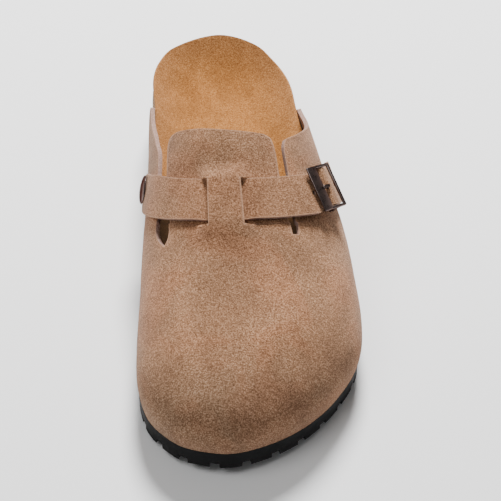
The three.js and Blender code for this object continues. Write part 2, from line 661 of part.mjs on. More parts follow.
// A cylinder along a frame's outward line, between two heights over the last.
function pegAt(frame, radius, low, high, segments = 12) {
  const peg = new THREE.CylinderGeometry(radius, radius, high - low, segments);
  peg.applyQuaternion(new THREE.Quaternion().setFromUnitVectors(new THREE.Vector3(0, 1, 0), frame.out));
  const middle = frame.point.clone().addScaledVector(frame.out, (low + high) / 2);
  return peg.translate(middle.x, middle.y, middle.z);
}

const rivetHole = () => pegAt(strapFrame(-RIVET_AT), RIVET_SHANK + GAP, -8, 8);

function strap() {
  const ends = { from: -STRAP_INNER_END, to: BUCKLE_AT + STRAP_TAIL };
  const halfWidth = (d) => {
    const left = Math.min(d - ends.from, ends.to - d);
    const curve = Math.max(0, 1 - left / STRAP_CORNER);
    const taper = STRAP_TAPER * blend(BUCKLE_AT + PLATE.from, BUCKLE_AT + ARM.from - 1, d);
    const widest = (STRAP_WIDTH - innerNarrowing(d)) / 2 - taper;
    return widest - STRAP_CORNER + STRAP_CORNER * Math.sqrt(1 - curve ** 2);
  };
  const corner = steps(0, 1, 4).map((t) => STRAP_CORNER * (1 - Math.cos((t * Math.PI) / 2)));
  const near = BRIDGE_WIDTH / 2;
  const rise = [1, 0.75, 0.5, 0.25, 0.05].map((t) => t * STRAP_RISE);
  const distances = [
    ...corner.map((c) => ends.from + c),
    ...steps(ends.from + STRAP_CORNER, BRIDGE_AT - near - STRAP_RISE - 2, 7).slice(1),
    ...rise.map((d) => BRIDGE_AT - near - d),
    ...steps(BRIDGE_AT - near / 2, BRIDGE_AT + near / 2, 2),
    ...rise.toReversed().map((d) => BRIDGE_AT + near + d),
    ...[-23, -17, -12, -9, -7, -4.6, -3, -1.6, 0, 1.6, 3, 4.6, 7, 9.5].map((d) => BUCKLE_AT + d),
    ...steps(BUCKLE_AT + 12, ends.to - STRAP_CORNER, 5),
    ...corner.toReversed().slice(1).map((c) => ends.to - c),
  ];
  const band = strapStretch(distances, halfWidth, 0, STRAP_THICKNESS, strapLift);
  const lean = (STRAP_HUMP + STRAP_THICKNESS / 2) * Math.tan(THREE.MathUtils.degToRad(BUCKLE_TILT));
  const holes = [-1, 0, 1, 2].map((i) => {
    const distance = BUCKLE_AT + PRONG_AT - lean + i * HOLE_PITCH;
    const frame = strapFrame(distance);
    frame.point.addScaledVector(frame.across, strapDrift(distance));
    return pegAt(frame, HOLE_RADIUS, 0, 12);
  });
  return without(band, rivetHole(), ...holes);
}

// The rivet through the strap and the inner side, with a domed cap outside and a washer inside.
function strapRivet() {
  const cap = STRAP_THICKNESS + 2 * GAP;
  const foot = -LEATHER - 2 * GAP;
  const half = [
    [0, foot - WASHER_THICKNESS],
    [WASHER_RADIUS, foot - WASHER_THICKNESS],
    [WASHER_RADIUS, foot],
    [RIVET_SHANK, foot],
    [RIVET_SHANK, cap],
    [RIVET_RADIUS, cap],
    [RIVET_RADIUS, cap + 0.35 * RIVET_DOME],
    [0.8 * RIVET_RADIUS, cap + 0.75 * RIVET_DOME],
    [0.45 * RIVET_RADIUS, cap + 0.95 * RIVET_DOME],
    [0, cap + RIVET_DOME],
  ].map(([x, y]) => new THREE.Vector2(x, y));
  const frame = strapFrame(-RIVET_AT);
  const rivet = new THREE.LatheGeometry(half, 16);
  rivet.applyQuaternion(new THREE.Quaternion().setFromUnitVectors(new THREE.Vector3(0, 1, 0), frame.out));
  return rivet.translate(frame.point.x, frame.point.y, frame.point.z);
}

// The buckle's own frame: x along the strap, y across it and z out from the shoe, tilted towards the instep.
const buckleSeat = (() => {
  const { point, along, across, out } = strapFrame(BUCKLE_AT);
  const tilt = new THREE.Matrix4().makeRotationY(-THREE.MathUtils.degToRad(BUCKLE_TILT));
  const place = point.clone().addScaledVector(across, strapDrift(BUCKLE_AT));
  return new THREE.Matrix4().makeBasis(along, across, out).setPosition(place).multiply(tilt);
})();

// A side view of the buckle, given as places along it and heights, as a solid between two places across.
function acrossBuckle(shape, from, to) {
  const geometry = new THREE.ExtrudeGeometry(shape, {
    depth: to - from,
    bevelEnabled: false,
    curveSegments: 8,
  });
  return geometry.rotateX(Math.PI / 2).translate(0, to, 0);
}
const outlineOf = (pairs) => new THREE.Shape(pairs.map(([x, y]) => new THREE.Vector2(x, y)));
const barAcross = (at, height, radius, half) =>
  new THREE.CylinderGeometry(radius, radius, 2 * half, 12).translate(at, 0, height);
function ringShape(inner, outer) {
  const ring = new THREE.Shape().absarc(0, CENTRE_BAR.height, outer, 0, 2 * Math.PI);
  ring.holes.push(new THREE.Path().absarc(0, CENTRE_BAR.height, inner, 0, 2 * Math.PI, true));
  return ring;
}

function buckleFrame() {
  const inside = STRAP_WIDTH / 2 - STRAP_TAPER + ARM.inside;
  const outside = inside + ARM.width;
  const { from, to, low, high, chamfer } = PLATE;
  const plateShape = outlineOf([
    [from, low],
    [to, low],
    [to, high - chamfer],
    [to - chamfer, high],
    [from + chamfer, high],
    [from, high - chamfer],
  ]);
  const end = OUTER_BAR.at;
  const lug = CENTRE_BAR.radius + 0.8;
  const armShape = outlineOf([
    [ARM.from, low],
    [-lug - 1, low],
    [-lug, CENTRE_BAR.height - lug],
    [lug, CENTRE_BAR.height - lug],
    [lug + 1, low],
    [end, OUTER_BAR.height - ARM.thickness / 2],
    [end, OUTER_BAR.height + ARM.thickness / 2],
    [0, low + ARM.thickness],
    [ARM.from, high - chamfer],
  ]);
  const splayedArm = (side, low, high) => {
    const arm = acrossBuckle(armShape, low, high);
    const places = arm.getAttribute("position");
    for (let i = 0; i < places.count; i++) {
      const spread = (ARM.splay * (end - places.getX(i))) / (end - ARM.from);
      places.setY(i, places.getY(i) + side * spread);
    }
    return arm;
  };
  return joined(
    acrossBuckle(plateShape, -outside - ARM.splay, outside + ARM.splay),
    splayedArm(1, inside, outside),
    splayedArm(-1, -outside, -inside),
    barAcross(OUTER_BAR.at, OUTER_BAR.height, OUTER_BAR.radius, outside),
    barAcross(0, CENTRE_BAR.height, CENTRE_BAR.radius, outside),
  ).applyMatrix4(buckleSeat);
}

// The prong turns on the centre bar, comes up through the strap's hole and rests on the plate's edge.
function buckleProng() {
  const inner = CENTRE_BAR.radius + GAP;
  const outer = inner + PRONG_THICKNESS;
  const top = STRAP_HUMP + STRAP_THICKNESS + GAP;
  const rest = PLATE.high + GAP;
  const [low, high] = [-PRONG_WIDTH / 2, PRONG_WIDTH / 2];
  const ring = acrossBuckle(ringShape(inner, outer), low, high);
  const [left, right] = [PRONG_AT - 0.65, PRONG_AT + 0.65];
  const shaft = outlineOf([
    [left, CENTRE_BAR.height + 0.3],
    [right, CENTRE_BAR.height + inner + 0.2],
    [right, top + 0.7],
    [right - 0.5, top + 1.2],
    [left, top + 1.2],
    [-PRONG_LENGTH, rest + 1],
    [-PRONG_LENGTH, rest],
    [PLATE.to, rest],
    [left, top],
  ]);
  return joined(ring, acrossBuckle(shaft, low, high)).applyMatrix4(buckleSeat);
}

// The tab lies on the side of the upper, loops round the centre bar and leaves a slot for the prong.
function buckleTab() {
  const inner = CENTRE_BAR.radius + GAP;
  const outer = inner + TAB_THICKNESS;
  const halfWidth = () => TAB_WIDTH / 2;
  const distances = steps(BUCKLE_AT, BUCKLE_AT + TAB_LENGTH, 5);
  const strip = strapStretch(distances, halfWidth, TAB_HEIGHT, TAB_HEIGHT + TAB_THICKNESS);
  const [low, high] = [-TAB_WIDTH / 2, TAB_WIDTH / 2];
  const loop = acrossBuckle(ringShape(inner, outer), low, high).applyMatrix4(buckleSeat);
  const slot = new THREE.BoxGeometry(3 * outer, SLOT_WIDTH, 4 * outer);
  slot.translate(0, 0, CENTRE_BAR.height).applyMatrix4(buckleSeat);
  return without(joined(strip, loop), slot);
}

function placed(name, geometry, colour, roughness, metalness = 0) {
  const material = new THREE.MeshStandardMaterial({ color: colour, roughness, metalness });
  const mesh = new THREE.Mesh(geometry, material);
  mesh.name = name;
  return mesh;
}

const clog = new THREE.Group();
clog.add(placed("outsole", outsole(), 0x1d1d1f, 0.75));
clog.add(placed("cork_footbed", corkFootbed(), 0xa9794c, 0.85));
clog.add(placed("insole", insole(), 0xc08a52, 0.95));
clog.add(placed("upper", upper(), 0xb08d70, 0.95));
clog.add(placed("strap", strap(), 0xb08d70, 0.95));
clog.add(placed("strap_rivet", strapRivet(), 0x4a3a32, 0.35, 1));
clog.add(placed("buckle_frame", buckleFrame(), 0x4a3a32, 0.35, 1));
clog.add(placed("buckle_prong", buckleProng(), 0x4a3a32, 0.35, 1));
clog.add(placed("buckle_tab", buckleTab(), 0xb08d70, 0.95));

// The origin is under the middle of the part's box.
const box = new THREE.Box3().setFromObject(clog);
const middle = box.getCenter(new THREE.Vector3());
for (const mesh of clog.children) mesh.geometry.translate(-middle.x, -middle.y, -box.min.z);

export default clog;
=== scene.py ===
"""The looks of a suede clog with a cork footbed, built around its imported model.

Metres. The toe points to -Y, the outer side of the left foot is +X and the floor is z = 0.
The surfaces are worked out in millimetres from the solids' tables and sizes, a few of them
brought closer to the photo, and are finer than the solids.
"""

import math
from contextlib import contextmanager

import bpy
import numpy as np
from mathutils import Matrix, Vector


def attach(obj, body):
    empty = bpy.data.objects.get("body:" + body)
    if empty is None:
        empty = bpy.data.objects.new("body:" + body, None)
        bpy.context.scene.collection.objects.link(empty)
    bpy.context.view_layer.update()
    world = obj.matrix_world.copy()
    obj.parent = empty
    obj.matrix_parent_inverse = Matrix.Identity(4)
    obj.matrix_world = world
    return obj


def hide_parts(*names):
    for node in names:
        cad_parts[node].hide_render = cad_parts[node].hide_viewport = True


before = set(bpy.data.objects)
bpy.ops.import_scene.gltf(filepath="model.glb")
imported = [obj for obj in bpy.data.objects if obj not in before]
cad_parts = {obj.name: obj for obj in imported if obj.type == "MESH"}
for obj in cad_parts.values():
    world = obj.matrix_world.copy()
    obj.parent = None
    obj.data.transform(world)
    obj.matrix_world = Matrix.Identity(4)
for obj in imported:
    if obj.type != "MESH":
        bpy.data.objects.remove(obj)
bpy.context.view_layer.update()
bpy.ops.object.select_all(action="DESELECT")

MM = 0.001

# Sizes of the shoe in millimetres
LENGTH = 268
BALL_WIDTH = 112
HEEL_WIDTH = 77
INSTEP_HEIGHT = 88
ORIGIN = (4.997, 0.267, 0.0)

# Sole and footbed
SOLE_THICKNESS = 9
TOE_SPRING = 8
SPRING_LENGTH = 74
HEEL_BEVEL = 2
HEEL_BEVEL_LENGTH = 22
HEEL_SEAT = 16
CUP_DEPTH = 13
CORK_BULGE = 1.2
CORK_WALL = 2.5
LINER = 1.4
RIM_SHARPNESS = 2.6
NOTCH_WIDTH = 4.6
NOTCH_REACH = 9
NOTCH_DEPTH = 2.6
LUG_PITCH = 16
WAVE_PITCH = 19
WAVE_WIDTH = 3.4
WAVE_HEIGHT = 4
WAVE_LENGTH = 30
WAVE_MARGIN = 14

# Upper, bridge and strap. A pair says where a form starts and where it is full, or gone, in
# distances from the strap's edge for the joints and the groove's width, from the bridge's side
# for the sink, and from the instep along the strap for the groove's ends
LEATHER = 2.2
GAP = 0.3
BRIDGE_WIDTH = 16.6
BRIDGE_AT = -0.2
BRIDGE_SINK = 1.7
BRIDGE_FALL_FRONT = 16
BRIDGE_FALL_BACK = 8
JOINT_REACH = 6.5
JOINT_FRONT = (0.5, 1.9)
JOINT_BACK = (-2.2, -1.0)
SINK_FADE = (0.3, 7)
EDGE_GROOVE = 1.3
GROOVE_WIDTH = (-4, -1)
GROOVE_ENDS = (40, 50)
EDGE_BAND = 1.5
STRAP_WIDTH = 21.6
STRAP_THICKNESS = 2
STRAP_CROWN = 0.25
STRAP_ALONG = 0.438
STRAP_LEAN = 45
STRAP_SWEEP = 0.005
STRAP_TAPER = 0.9
STRAP_CORNER = 9
STRAP_INNER_END = 74
STRAP_INNER_NARROWING = 2.4
STRAP_TAIL = 38
STRAP_RISE = 6
HOLE_RADIUS = 1.25
HOLE_PITCH = 8
HOLES_BEFORE_PRONG = 1
HOLES_AFTER_PRONG = 2
RIVET_AT = 65.5
RIVET_RADIUS = 7.6
RIVET_DOME = 1.9
SHANK_RADIUS = 2
WASHER_RADIUS = 4.5
WASHER_THICKNESS = 1

# Buckle
BUCKLE_AT = 56.1
BUCKLE_TILT = 9
BUCKLE_SHIFT = 1.8
PLATE_FROM = -11
PLATE_TO = -3.9
PLATE_LOW = 6.2
PLATE_HIGH = 7.5
OUTER_BAR_AT = 5.6
OUTER_BAR_HEIGHT = 7.2
OUTER_BAR_RADIUS = 0.9
CENTRE_BAR_HEIGHT = 2.6
CENTRE_BAR_RADIUS = 0.8
ARM_FROM = -5.4
ARM_INSIDE = 0.4
ARM_WIDTH = 1.5
ARM_THICKNESS = 1.6
ARM_SPLAY = 0.2
TAB_WIDTH = 12
TAB_THICKNESS = 0.8
TAB_LENGTH = 22
SLOT_WIDTH = 2.6
PRONG_WIDTH = 1.6
PRONG_THICKNESS = 0.9
PRONG_LENGTH = 5.8
PRONG_AT = -1.25
TAB_HEIGHT = CENTRE_BAR_HEIGHT - CENTRE_BAR_RADIUS - GAP - TAB_THICKNESS
STRAP_HUMP = CENTRE_BAR_HEIGHT + CENTRE_BAR_RADIUS + TAB_THICKNESS + 4 * GAP

SLIT_START_INNER = 0.366
SLIT_START_OUTER = 0.375
TONGUE_END = 0.565
WING_END = 0.783
TOE_CENTRE = 0.19
HEEL_CENTRE = 0.86
COLUMNS = 61
ROW_STEP = 3.2
END_ROWS = 22
TOE_ROWS = 34
WELD = 0.00001


def table(names, rows):
    """A table of sections as one array per named column."""
    return dict(zip(names.split(), np.array(rows, dtype=float).T))


OUTLINE = table("along ball heel", [
    (0.0, -0.07, 0),
    (0.02, 0.085, 0),
    (0.053, 0.22, 0),
    (0.096, 0.335, 0),
    (0.15, 0.435, 0),
    (0.22, 0.522, 0),
    (0.3, 0.545, 0),
    (0.4, 0.53, 0),
    (0.5, 0.26, 0.35),
    (0.64, 0.11, 0.47),
    (0.77, 0, 0.535),
    (0.86, 0, 0.47),
    (0.93, 0, 0.348),
    (0.972, 0, 0.24),
    (1.0, 0, 0),
    (0.965, 0, -0.325),
    (0.93, 0, -0.416),
    (0.88, 0, -0.475),
    (0.8, 0, -0.5),
    (0.68, -0.07, -0.42),
    (0.5, -0.22, -0.25),
    (0.37, -0.42, 0),
    (0.25, -0.445, 0),
    (0.155, -0.45, 0),
    (0.096, -0.42, 0),
    (0.056, -0.362, 0),
    (0.025, -0.288, 0),
    (0.008, -0.195, 0),
])

LAST = table("along ridge lean shift bulge square crown", [
    (0.0, 0.52, 0, -0.05, 0.02, 2.5, 2.3),
    (0.1, 0.565, 0, -0.05, 0.025, 2.5, 2.3),
    (0.19, 0.605, 0, -0.05, 0.03, 2.45, 2.25),
    (0.28, 0.66, 0.12, -0.05, 0.03, 2.35, 2.2),
    (0.36, 0.73, 0.28, -0.05, 0.03, 2.3, 2.15),
    (0.44, 0.815, 0.4, -0.052, 0.035, 2.25, 2.1),
    (0.5, 0.895, 0.42, -0.055, 0.035, 2.2, 2.05),
    (0.565, 0.99, 0.4, -0.06, 0.03, 2.15, 2.0),
    (0.66, 1.08, 0.28, -0.055, 0.03, 2.1, 1.95),
    (0.74, 1.1, 0.14, -0.045, 0.03, 2.1, 1.95),
    (0.81, 1.1, 0.05, -0.03, 0.03, 2.1, 1.95),
    (0.86, 1.1, 0.05, -0.02, 0.03, 2.1, 1.95),
])

# The upper's pattern: places across a section as shares from its top line, and how far back a cut runs.
PATTERN = table("along skew innerFlap innerTongue outerTongue outerFlap", [
    (0.0, 0, -0.48, -0.45, 0.29, 0.32),
    (0.366, 0, -0.468, -0.456, 0.3, 0.31),
    (0.37, 0, -0.49, -0.443, 0.295, 0.316),
    (0.378, 0, -0.52, -0.428, 0.289, 0.322),
    (0.392, 0, -0.548, -0.42, 0.285, 0.327),
    (0.41, 0, -0.546, -0.43, 0.283, 0.32),
    (0.45, 0, -0.55, -0.45, 0.265, 0.31),
    (0.49, 0, -0.558, -0.455, 0.262, 0.314),
    (0.53, 0.03, -0.565, -0.46, 0.264, 0.317),
    (0.545, 0.034, -0.58, -0.452, 0.261, 0.32),
    (0.555, 0.032, -0.592, -0.438, 0.255, 0.328),
    (0.561, 0.031, -0.6, -0.415, 0.244, 0.336),
    (0.565, 0.03, -0.607, -0.37, 0.215, 0.343),
    (0.59, 0.042, -0.64, -0.2, 0.15, 0.43),
    (0.641, 0.03, -0.69, -0.2, 0.15, 0.6),
    (0.7, 0.01, -0.72, -0.2, 0.15, 0.71),
    (0.76, 0, -0.74, -0.2, 0.15, 0.765),
    (0.777, 0, -0.75, -0.2, 0.15, 0.775),
    (0.783, 0, -0.78, -0.2, 0.15, 0.81),
])

FOOTBED = table("along seat innerRise outerRise", [
    (0.0, 0.38, 0.08, 0.08),
    (0.12, 0.4, 0.15, 0.15),
    (0.22, 0.48, 0.2, 0.18),
    (0.3, 0.48, 0.3, 0.22),
    (0.42, 0.68, 0.5, 0.35),
    (0.55, 0.9, 0.7, 0.45),
    (0.7, 1.0, 0.9, 0.7),
    (0.83, 1.0, 1.0, 1.0),
    (0.93, 1.05, 1.0, 1.0),
    (1.0, 1.2, 0.85, 0.85),
])

STRAP_LIFT = table("along lift", [
    (-32, GAP),
    (-12, 2.3),
    (-4.6, 2.7),
    (-1.6, STRAP_HUMP - 0.2),
    (0, STRAP_HUMP),
    (1.6, STRAP_HUMP - 0.2),
    (4.6, 2.7),
    (12, TAB_HEIGHT + TAB_THICKNESS + GAP),
])


def column(rows, name, at):
    """A smooth value of one column of a table, through its rows."""
    places = rows["along"]
    values = rows[name]
    at = np.clip(np.asarray(at, dtype=float), places[0], places[-1])
    before = np.r_[0, np.arange(len(places) - 1)]
    after = np.r_[np.arange(1, len(places)), len(places) - 1]
    slopes = (values[after] - values[before]) / (places[after] - places[before])
    i = np.clip(np.searchsorted(places, at, side="right") - 1, 0, len(places) - 2)
    span = places[i + 1] - places[i]
    t = (at - places[i]) / span
    start = values[i] * (1 + 2 * t) * (1 - t) ** 2 + slopes[i] * span * t * (1 - t) ** 2
    end = values[i + 1] * t * t * (3 - 2 * t) + slopes[i + 1] * span * t * t * (t - 1)
    return start + end


def blend(low, high, value):
    """Goes smoothly from 0 at low to 1 at high."""
    t = np.clip((np.asarray(value, dtype=float) - low) / (high - low), 0, 1)
    return t * t * (3 - 2 * t)


def lerp(start, end, share):
    """The value at a share of the way from start to end."""
    return start + (end - start) * share


def y_at(along):
    return (np.asarray(along, dtype=float) - 0.5) * LENGTH


def along_at(y):
    return y / LENGTH + 0.5


def sole_outline(count=480):
    """The closed outline of the sole, counter-clockwise from the toe, in even steps."""
    across = OUTLINE["ball"] * BALL_WIDTH + OUTLINE["heel"] * HEEL_WIDTH
    corners = np.c_[across, y_at(OUTLINE["along"])]
    t = np.linspace(0, 1, 24, endpoint=False)[:, None]
    pieces = []
    for i in range(len(corners)):
        p0, p1, p2, p3 = (corners[(i + k) % len(corners)] for k in (-1, 0, 1, 2))
        d0, d1, d2 = (math.sqrt(math.dist(a, b)) for a, b in ((p0, p1), (p1, p2), (p2, p3)))
        leave = ((p1 - p0) / d0 - (p2 - p0) / (d0 + d1) + (p2 - p1) / d1) * d1
        arrive = ((p2 - p1) / d1 - (p3 - p1) / (d1 + d2) + (p3 - p2) / d2) * d1
        pieces.append(
            p1 * (2 * t**3 - 3 * t**2 + 1)
            + leave * (t**3 - 2 * t**2 + t)
            + p2 * (3 * t**2 - 2 * t**3)
            + arrive * (t**3 - t**2)
        )
    dense = np.concatenate(pieces)
    closed = np.r_[dense, dense[:1]]
    lengths = np.r_[0, np.cumsum(np.linalg.norm(np.diff(closed, axis=0), axis=1))]
    even = np.linspace(0, lengths[-1], count, endpoint=False)
    return np.c_[np.interp(even, lengths, closed[:, 0]), np.interp(even, lengths, closed[:, 1])]


def inward_of(outline):
    """Unit vectors across the outline, inwards."""
    along = np.roll(outline, -1, axis=0) - np.roll(outline, 1, axis=0)
    along /= np.linalg.norm(along, axis=1)[:, None]
    return np.c_[-along[:, 1], along[:, 0]]


def inset(outline, distance):
    """The outline moved inwards by a distance for each of its points."""
    return outline + inward_of(outline) * np.asarray(distance)[:, None]


def reach_to(outline, starts, directions):
    """The distance from each start to the outline, in its direction."""
    a = outline
    edge = np.roll(outline, -1, axis=0) - a
    reach = np.zeros(len(starts))
    for part in np.array_split(np.arange(len(starts)), max(1, len(starts) // 4000)):
        dx = directions[part, 0][:, None]
        dy = directions[part, 1][:, None]
        cross = dx * edge[:, 1] - dy * edge[:, 0]
        safe = np.where(np.abs(cross) < 1e-12, 1e-12, cross)
        to_x = a[:, 0] - starts[part, 0][:, None]
        to_y = a[:, 1] - starts[part, 1][:, None]
        far = (to_x * edge[:, 1] - to_y * edge[:, 0]) / safe
        share = (to_x * dy - to_y * dx) / safe
        met = (share >= -1e-7) & (share <= 1 + 1e-7) & (np.abs(cross) > 1e-12)
        reach[part] = np.where(met, far, 0).max(axis=1)
    return reach


class Outline:
    """An outline of the shoe and its reach to both sides, looked up by the place along the shoe."""

    def __init__(self, points):
        self.points = points
        self.ys = np.linspace(points[:, 1].min() + 0.01, points[:, 1].max() - 0.01, 1600)
        centres = np.c_[np.zeros_like(self.ys), self.ys]
        self.right = reach_to(points, centres, np.tile((1.0, 0.0), (len(centres), 1)))
        self.left = reach_to(points, centres, np.tile((-1.0, 0.0), (len(centres), 1)))

    def side(self, x, y, sign):
        """The reach from a point to the right or the left edge."""
        right = np.interp(y, self.ys, self.right) - x
        left = np.interp(y, self.ys, self.left) + x
        return np.where(sign < 0, left, right)

    def middle(self, y):
        return (np.interp(y, self.ys, self.right) - np.interp(y, self.ys, self.left)) / 2

    def rays(self, y, fan, end, across, spine):
        """Where each place's ray starts, its direction, its reach and its share of the reach.
        A row with a fan belongs to a rounded end, whose rays fan out from the end's centre."""
        x = spine(y)
        sign = np.where(across < 0, -1.0, 1.0)
        beside = self.side(x, y, sign)
        starts = np.c_[x, y]
        ahead = reach_to(self.points, starts, np.c_[np.zeros_like(y), end]) if fan.any() else beside
        sideways = across * np.sqrt(1 - fan**2 / 2)
        forwards = fan * np.sqrt(1 - across**2 / 2)
        fanned = np.c_[sideways * beside, end * forwards * ahead]
        straight = np.c_[sign, np.zeros_like(y)]
        size = np.linalg.norm(fanned, axis=1)
        is_fan = (fan > 0) & (size > 1e-9)
        direction = np.where(is_fan[:, None], fanned / np.where(size > 1e-9, size, 1)[:, None], straight)
        reach = beside.copy()
        if is_fan.any():
            reach[is_fan] = reach_to(self.points, starts[is_fan], direction[is_fan])
        share = np.where(fan > 0, np.minimum(1, np.hypot(sideways, forwards)), np.abs(across))
        return starts, direction, reach, share


feather = Outline(sole_outline())


def tread_height(y):
    toe = np.maximum(0, y_at(0) + SPRING_LENGTH - y) / SPRING_LENGTH
    heel = np.maximum(0, y - y_at(1) + HEEL_BEVEL_LENGTH) / HEEL_BEVEL_LENGTH
    return TOE_SPRING * toe**2 + HEEL_BEVEL * heel**2


def sole_top(y):
    toe = np.maximum(0, y_at(0) + SPRING_LENGTH - y) / SPRING_LENGTH
    return SOLE_THICKNESS + TOE_SPRING * toe**2


def ridge_at(y):
    return BALL_WIDTH * column(LAST, "shift", along_at(y))


def last_point(y, across, fan=None):
    """Points of the last's surface, which is the outside of the upper."""
    y, across = np.broadcast_arrays(np.asarray(y, dtype=float), np.asarray(across, dtype=float))
    shape = y.shape
    y = y.ravel()
    across = across.ravel()
    fan = np.zeros_like(y) if fan is None else np.broadcast_to(fan, shape).ravel()
    drop = 1 - np.maximum(0, np.cos(across * math.pi / 2))
    lean = np.where(fan > 0, 0, INSTEP_HEIGHT * column(LAST, "lean", along_at(y)) * drop)
    starts, direction, reach, share = feather.rays(y + lean, fan, -np.ones_like(y), across, ridge_at)
    near = along_at(starts[:, 1] + direction[:, 1] * reach * share)
    turn = share * math.pi / 2
    up = np.maximum(0, np.cos(turn)) ** (2 / column(LAST, "crown", near))
    swell = BALL_WIDTH * column(LAST, "bulge", near) * np.sin(math.pi * np.minimum(1, up))
    out = reach * np.sin(turn) ** (2 / column(LAST, "square", near)) + swell
    plan = starts + direction * out[:, None]
    foot = sole_top(starts[:, 1] + direction[:, 1] * reach) + GAP
    ridge = INSTEP_HEIGHT * column(LAST, "ridge", along_at(plan[:, 1]))
    return np.c_[plan, foot + (ridge - foot) * up].reshape(*shape, 3)


# The strap lies in a band that leans back from the instep, and further as it goes down.
STRAP_CENTRE = last_point(y_at(STRAP_ALONG), 0.0)
STRAP_ACROSS = np.array((0, math.cos(math.radians(STRAP_LEAN)), math.sin(math.radians(STRAP_LEAN))))


def band_place(points):
    way = points - STRAP_CENTRE
    return way @ STRAP_ACROSS - STRAP_SWEEP * way[..., 2] ** 2


def band_point(across, distance):
    """Points of the last at a share across its section and a distance from the strap's middle plane."""
    across, distance = np.broadcast_arrays(across, distance)
    low = np.full(across.shape, y_at(TOE_CENTRE))
    high = np.full(across.shape, y_at(1) - 1)
    for _ in range(28):
        y = (low + high) / 2
        before = band_place(last_point(y, across)) < distance
        low = np.where(before, y, low)
        high = np.where(before, high, y)
    return last_point(low, across)


STRAP_SHARES = np.linspace(-0.97, 0.97, 161)
STRAP_POINTS = band_point(STRAP_SHARES, 0.0)
STRAP_STEPS = np.linalg.norm(np.diff(STRAP_POINTS, axis=0), axis=1)
STRAP_LENGTHS = np.r_[0, np.cumsum(STRAP_STEPS)]
STRAP_LENGTHS -= STRAP_LENGTHS[80]


def share_at(distance):
    return np.interp(distance, STRAP_LENGTHS, STRAP_SHARES)


def unit(vectors):
    return vectors / np.linalg.norm(vectors, axis=-1, keepdims=True)


def strap_frame(distance):
    """Frames on the last under the strap: a point, the way along it, across it and out, and its stretch."""
    point = band_point(share_at(distance), 0.0)
    along = unit(band_point(share_at(distance + 1), 0.0) - band_point(share_at(distance - 1), 0.0))
    sideways = band_point(share_at(distance), 1.0) - band_point(share_at(distance), -1.0)
    out = unit(np.cross(along, sideways))
    across = np.cross(out, along)
    return point, along, across, out, 2 / (sideways * across).sum(-1)


def inner_narrowing(distance):
    """How far the strap's back edge has come in towards its inner end."""
    return STRAP_INNER_NARROWING * (1 - blend(8 - STRAP_INNER_END, 30 - STRAP_INNER_END, distance))


def strap_drift(distance):
    """How far the strap's middle has drifted back. It meets the buckle's middle."""
    to_buckle = BUCKLE_SHIFT * blend(BUCKLE_AT + PLATE_FROM, BUCKLE_AT + ARM_FROM - 1, distance)
    return to_buckle - inner_narrowing(distance) / 2


def strap_sheet(distances, places, lift):
    """A sheet over the last at distances along the strap, with places straight across it, lifted."""
    point, along, _, out, stretch = strap_frame(distances)
    across = (places + strap_drift(distances)[:, None]) * stretch[:, None]
    way = np.broadcast_to(distances[:, None], across.shape).copy()
    sheet = band_point(share_at(way), across)
    for _ in range(3):
        way -= ((sheet - point[:, None]) * along[:, None]).sum(-1)
        sheet = band_point(share_at(way), across)
    return sheet + out[:, None] * np.asarray(lift)[:, None, None]


def strap_lift(distance):
    """How far the strap's underside is from the upper. It dips under the bridge and rises at the buckle."""
    near = BRIDGE_WIDTH / 2
    sink = BRIDGE_SINK * (1 - blend(near + GAP, near + STRAP_RISE, np.abs(distance - BRIDGE_AT)))
    return column(STRAP_LIFT, "lift", distance - BUCKLE_AT) - sink


# Making of pieces
def placed(points):
    """Points in millimetres of the tables' frame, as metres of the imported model's frame."""
    return (np.asarray(points, dtype=float) - np.array(ORIGIN)) * MM


@contextmanager
def edit_mode(action="SELECT"):
    """Edit mode of the active piece, with all of it selected or none of it."""
    bpy.ops.object.mode_set(mode="EDIT")
    bpy.ops.mesh.select_all(action=action)
    yield
    bpy.ops.object.mode_set(mode="OBJECT")


def named(piece, name):
    piece.name = name
    piece.data.name = name
    return piece


def settle(piece, name):
    """Names a new piece and puts its place into its mesh."""
    bpy.ops.object.transform_apply(location=True, rotation=True, scale=True)
    return named(piece, name)


def mesh_points(piece):
    """A piece's points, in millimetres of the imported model's frame."""
    points = np.empty(len(piece.data.vertices) * 3)
    piece.data.vertices.foreach_get("co", points)
    return points.reshape(-1, 3) / MM


def sheet_piece(name, points, keep=None, flip=False):
    """A grid primitive whose points take their places from rows of points. keep says which cells stay."""
    rows, columns = points.shape[:2]
    bpy.ops.mesh.primitive_grid_add(x_subdivisions=columns - 1, y_subdivisions=rows - 1, size=1)
    piece = settle(bpy.context.object, name)
    piece.data.vertices.foreach_set("co", placed(points).reshape(-1))
    with edit_mode("DESELECT"):
        bpy.ops.mesh.select_mode(type="FACE")
    if keep is not None:
        piece.data.polygons.foreach_set("select", ~keep.reshape(-1))
        bpy.ops.object.mode_set(mode="EDIT")
        bpy.ops.mesh.delete(type="FACE")
        bpy.ops.object.mode_set(mode="OBJECT")
    with edit_mode():
        bpy.ops.mesh.remove_doubles(threshold=WELD)
        if flip:
            bpy.ops.mesh.flip_normals()
    return piece


def turned_out(out):
    """A turn that stands a piece's own Z along an outward line."""
    return Vector(out).to_track_quat("Z", "Y").to_euler()


def rod_piece(name, vertices, radius, length, place, turn, **ends):
    """A round rod whose middle is at a place in metres."""
    bpy.ops.mesh.primitive_cylinder_add(
        vertices=vertices, radius=radius * MM, depth=length * MM, location=place, rotation=turn, **ends
    )
    return settle(bpy.context.object, name)


def modified(piece, kind, **settings):
    """Adds a modifier to a piece and applies it."""
    bpy.context.view_layer.objects.active = piece
    modifier = piece.modifiers.new(kind.lower(), kind)
    for name, value in settings.items():
        setattr(modifier, name, value)
    bpy.ops.object.modifier_apply(modifier=modifier.name)
    return piece


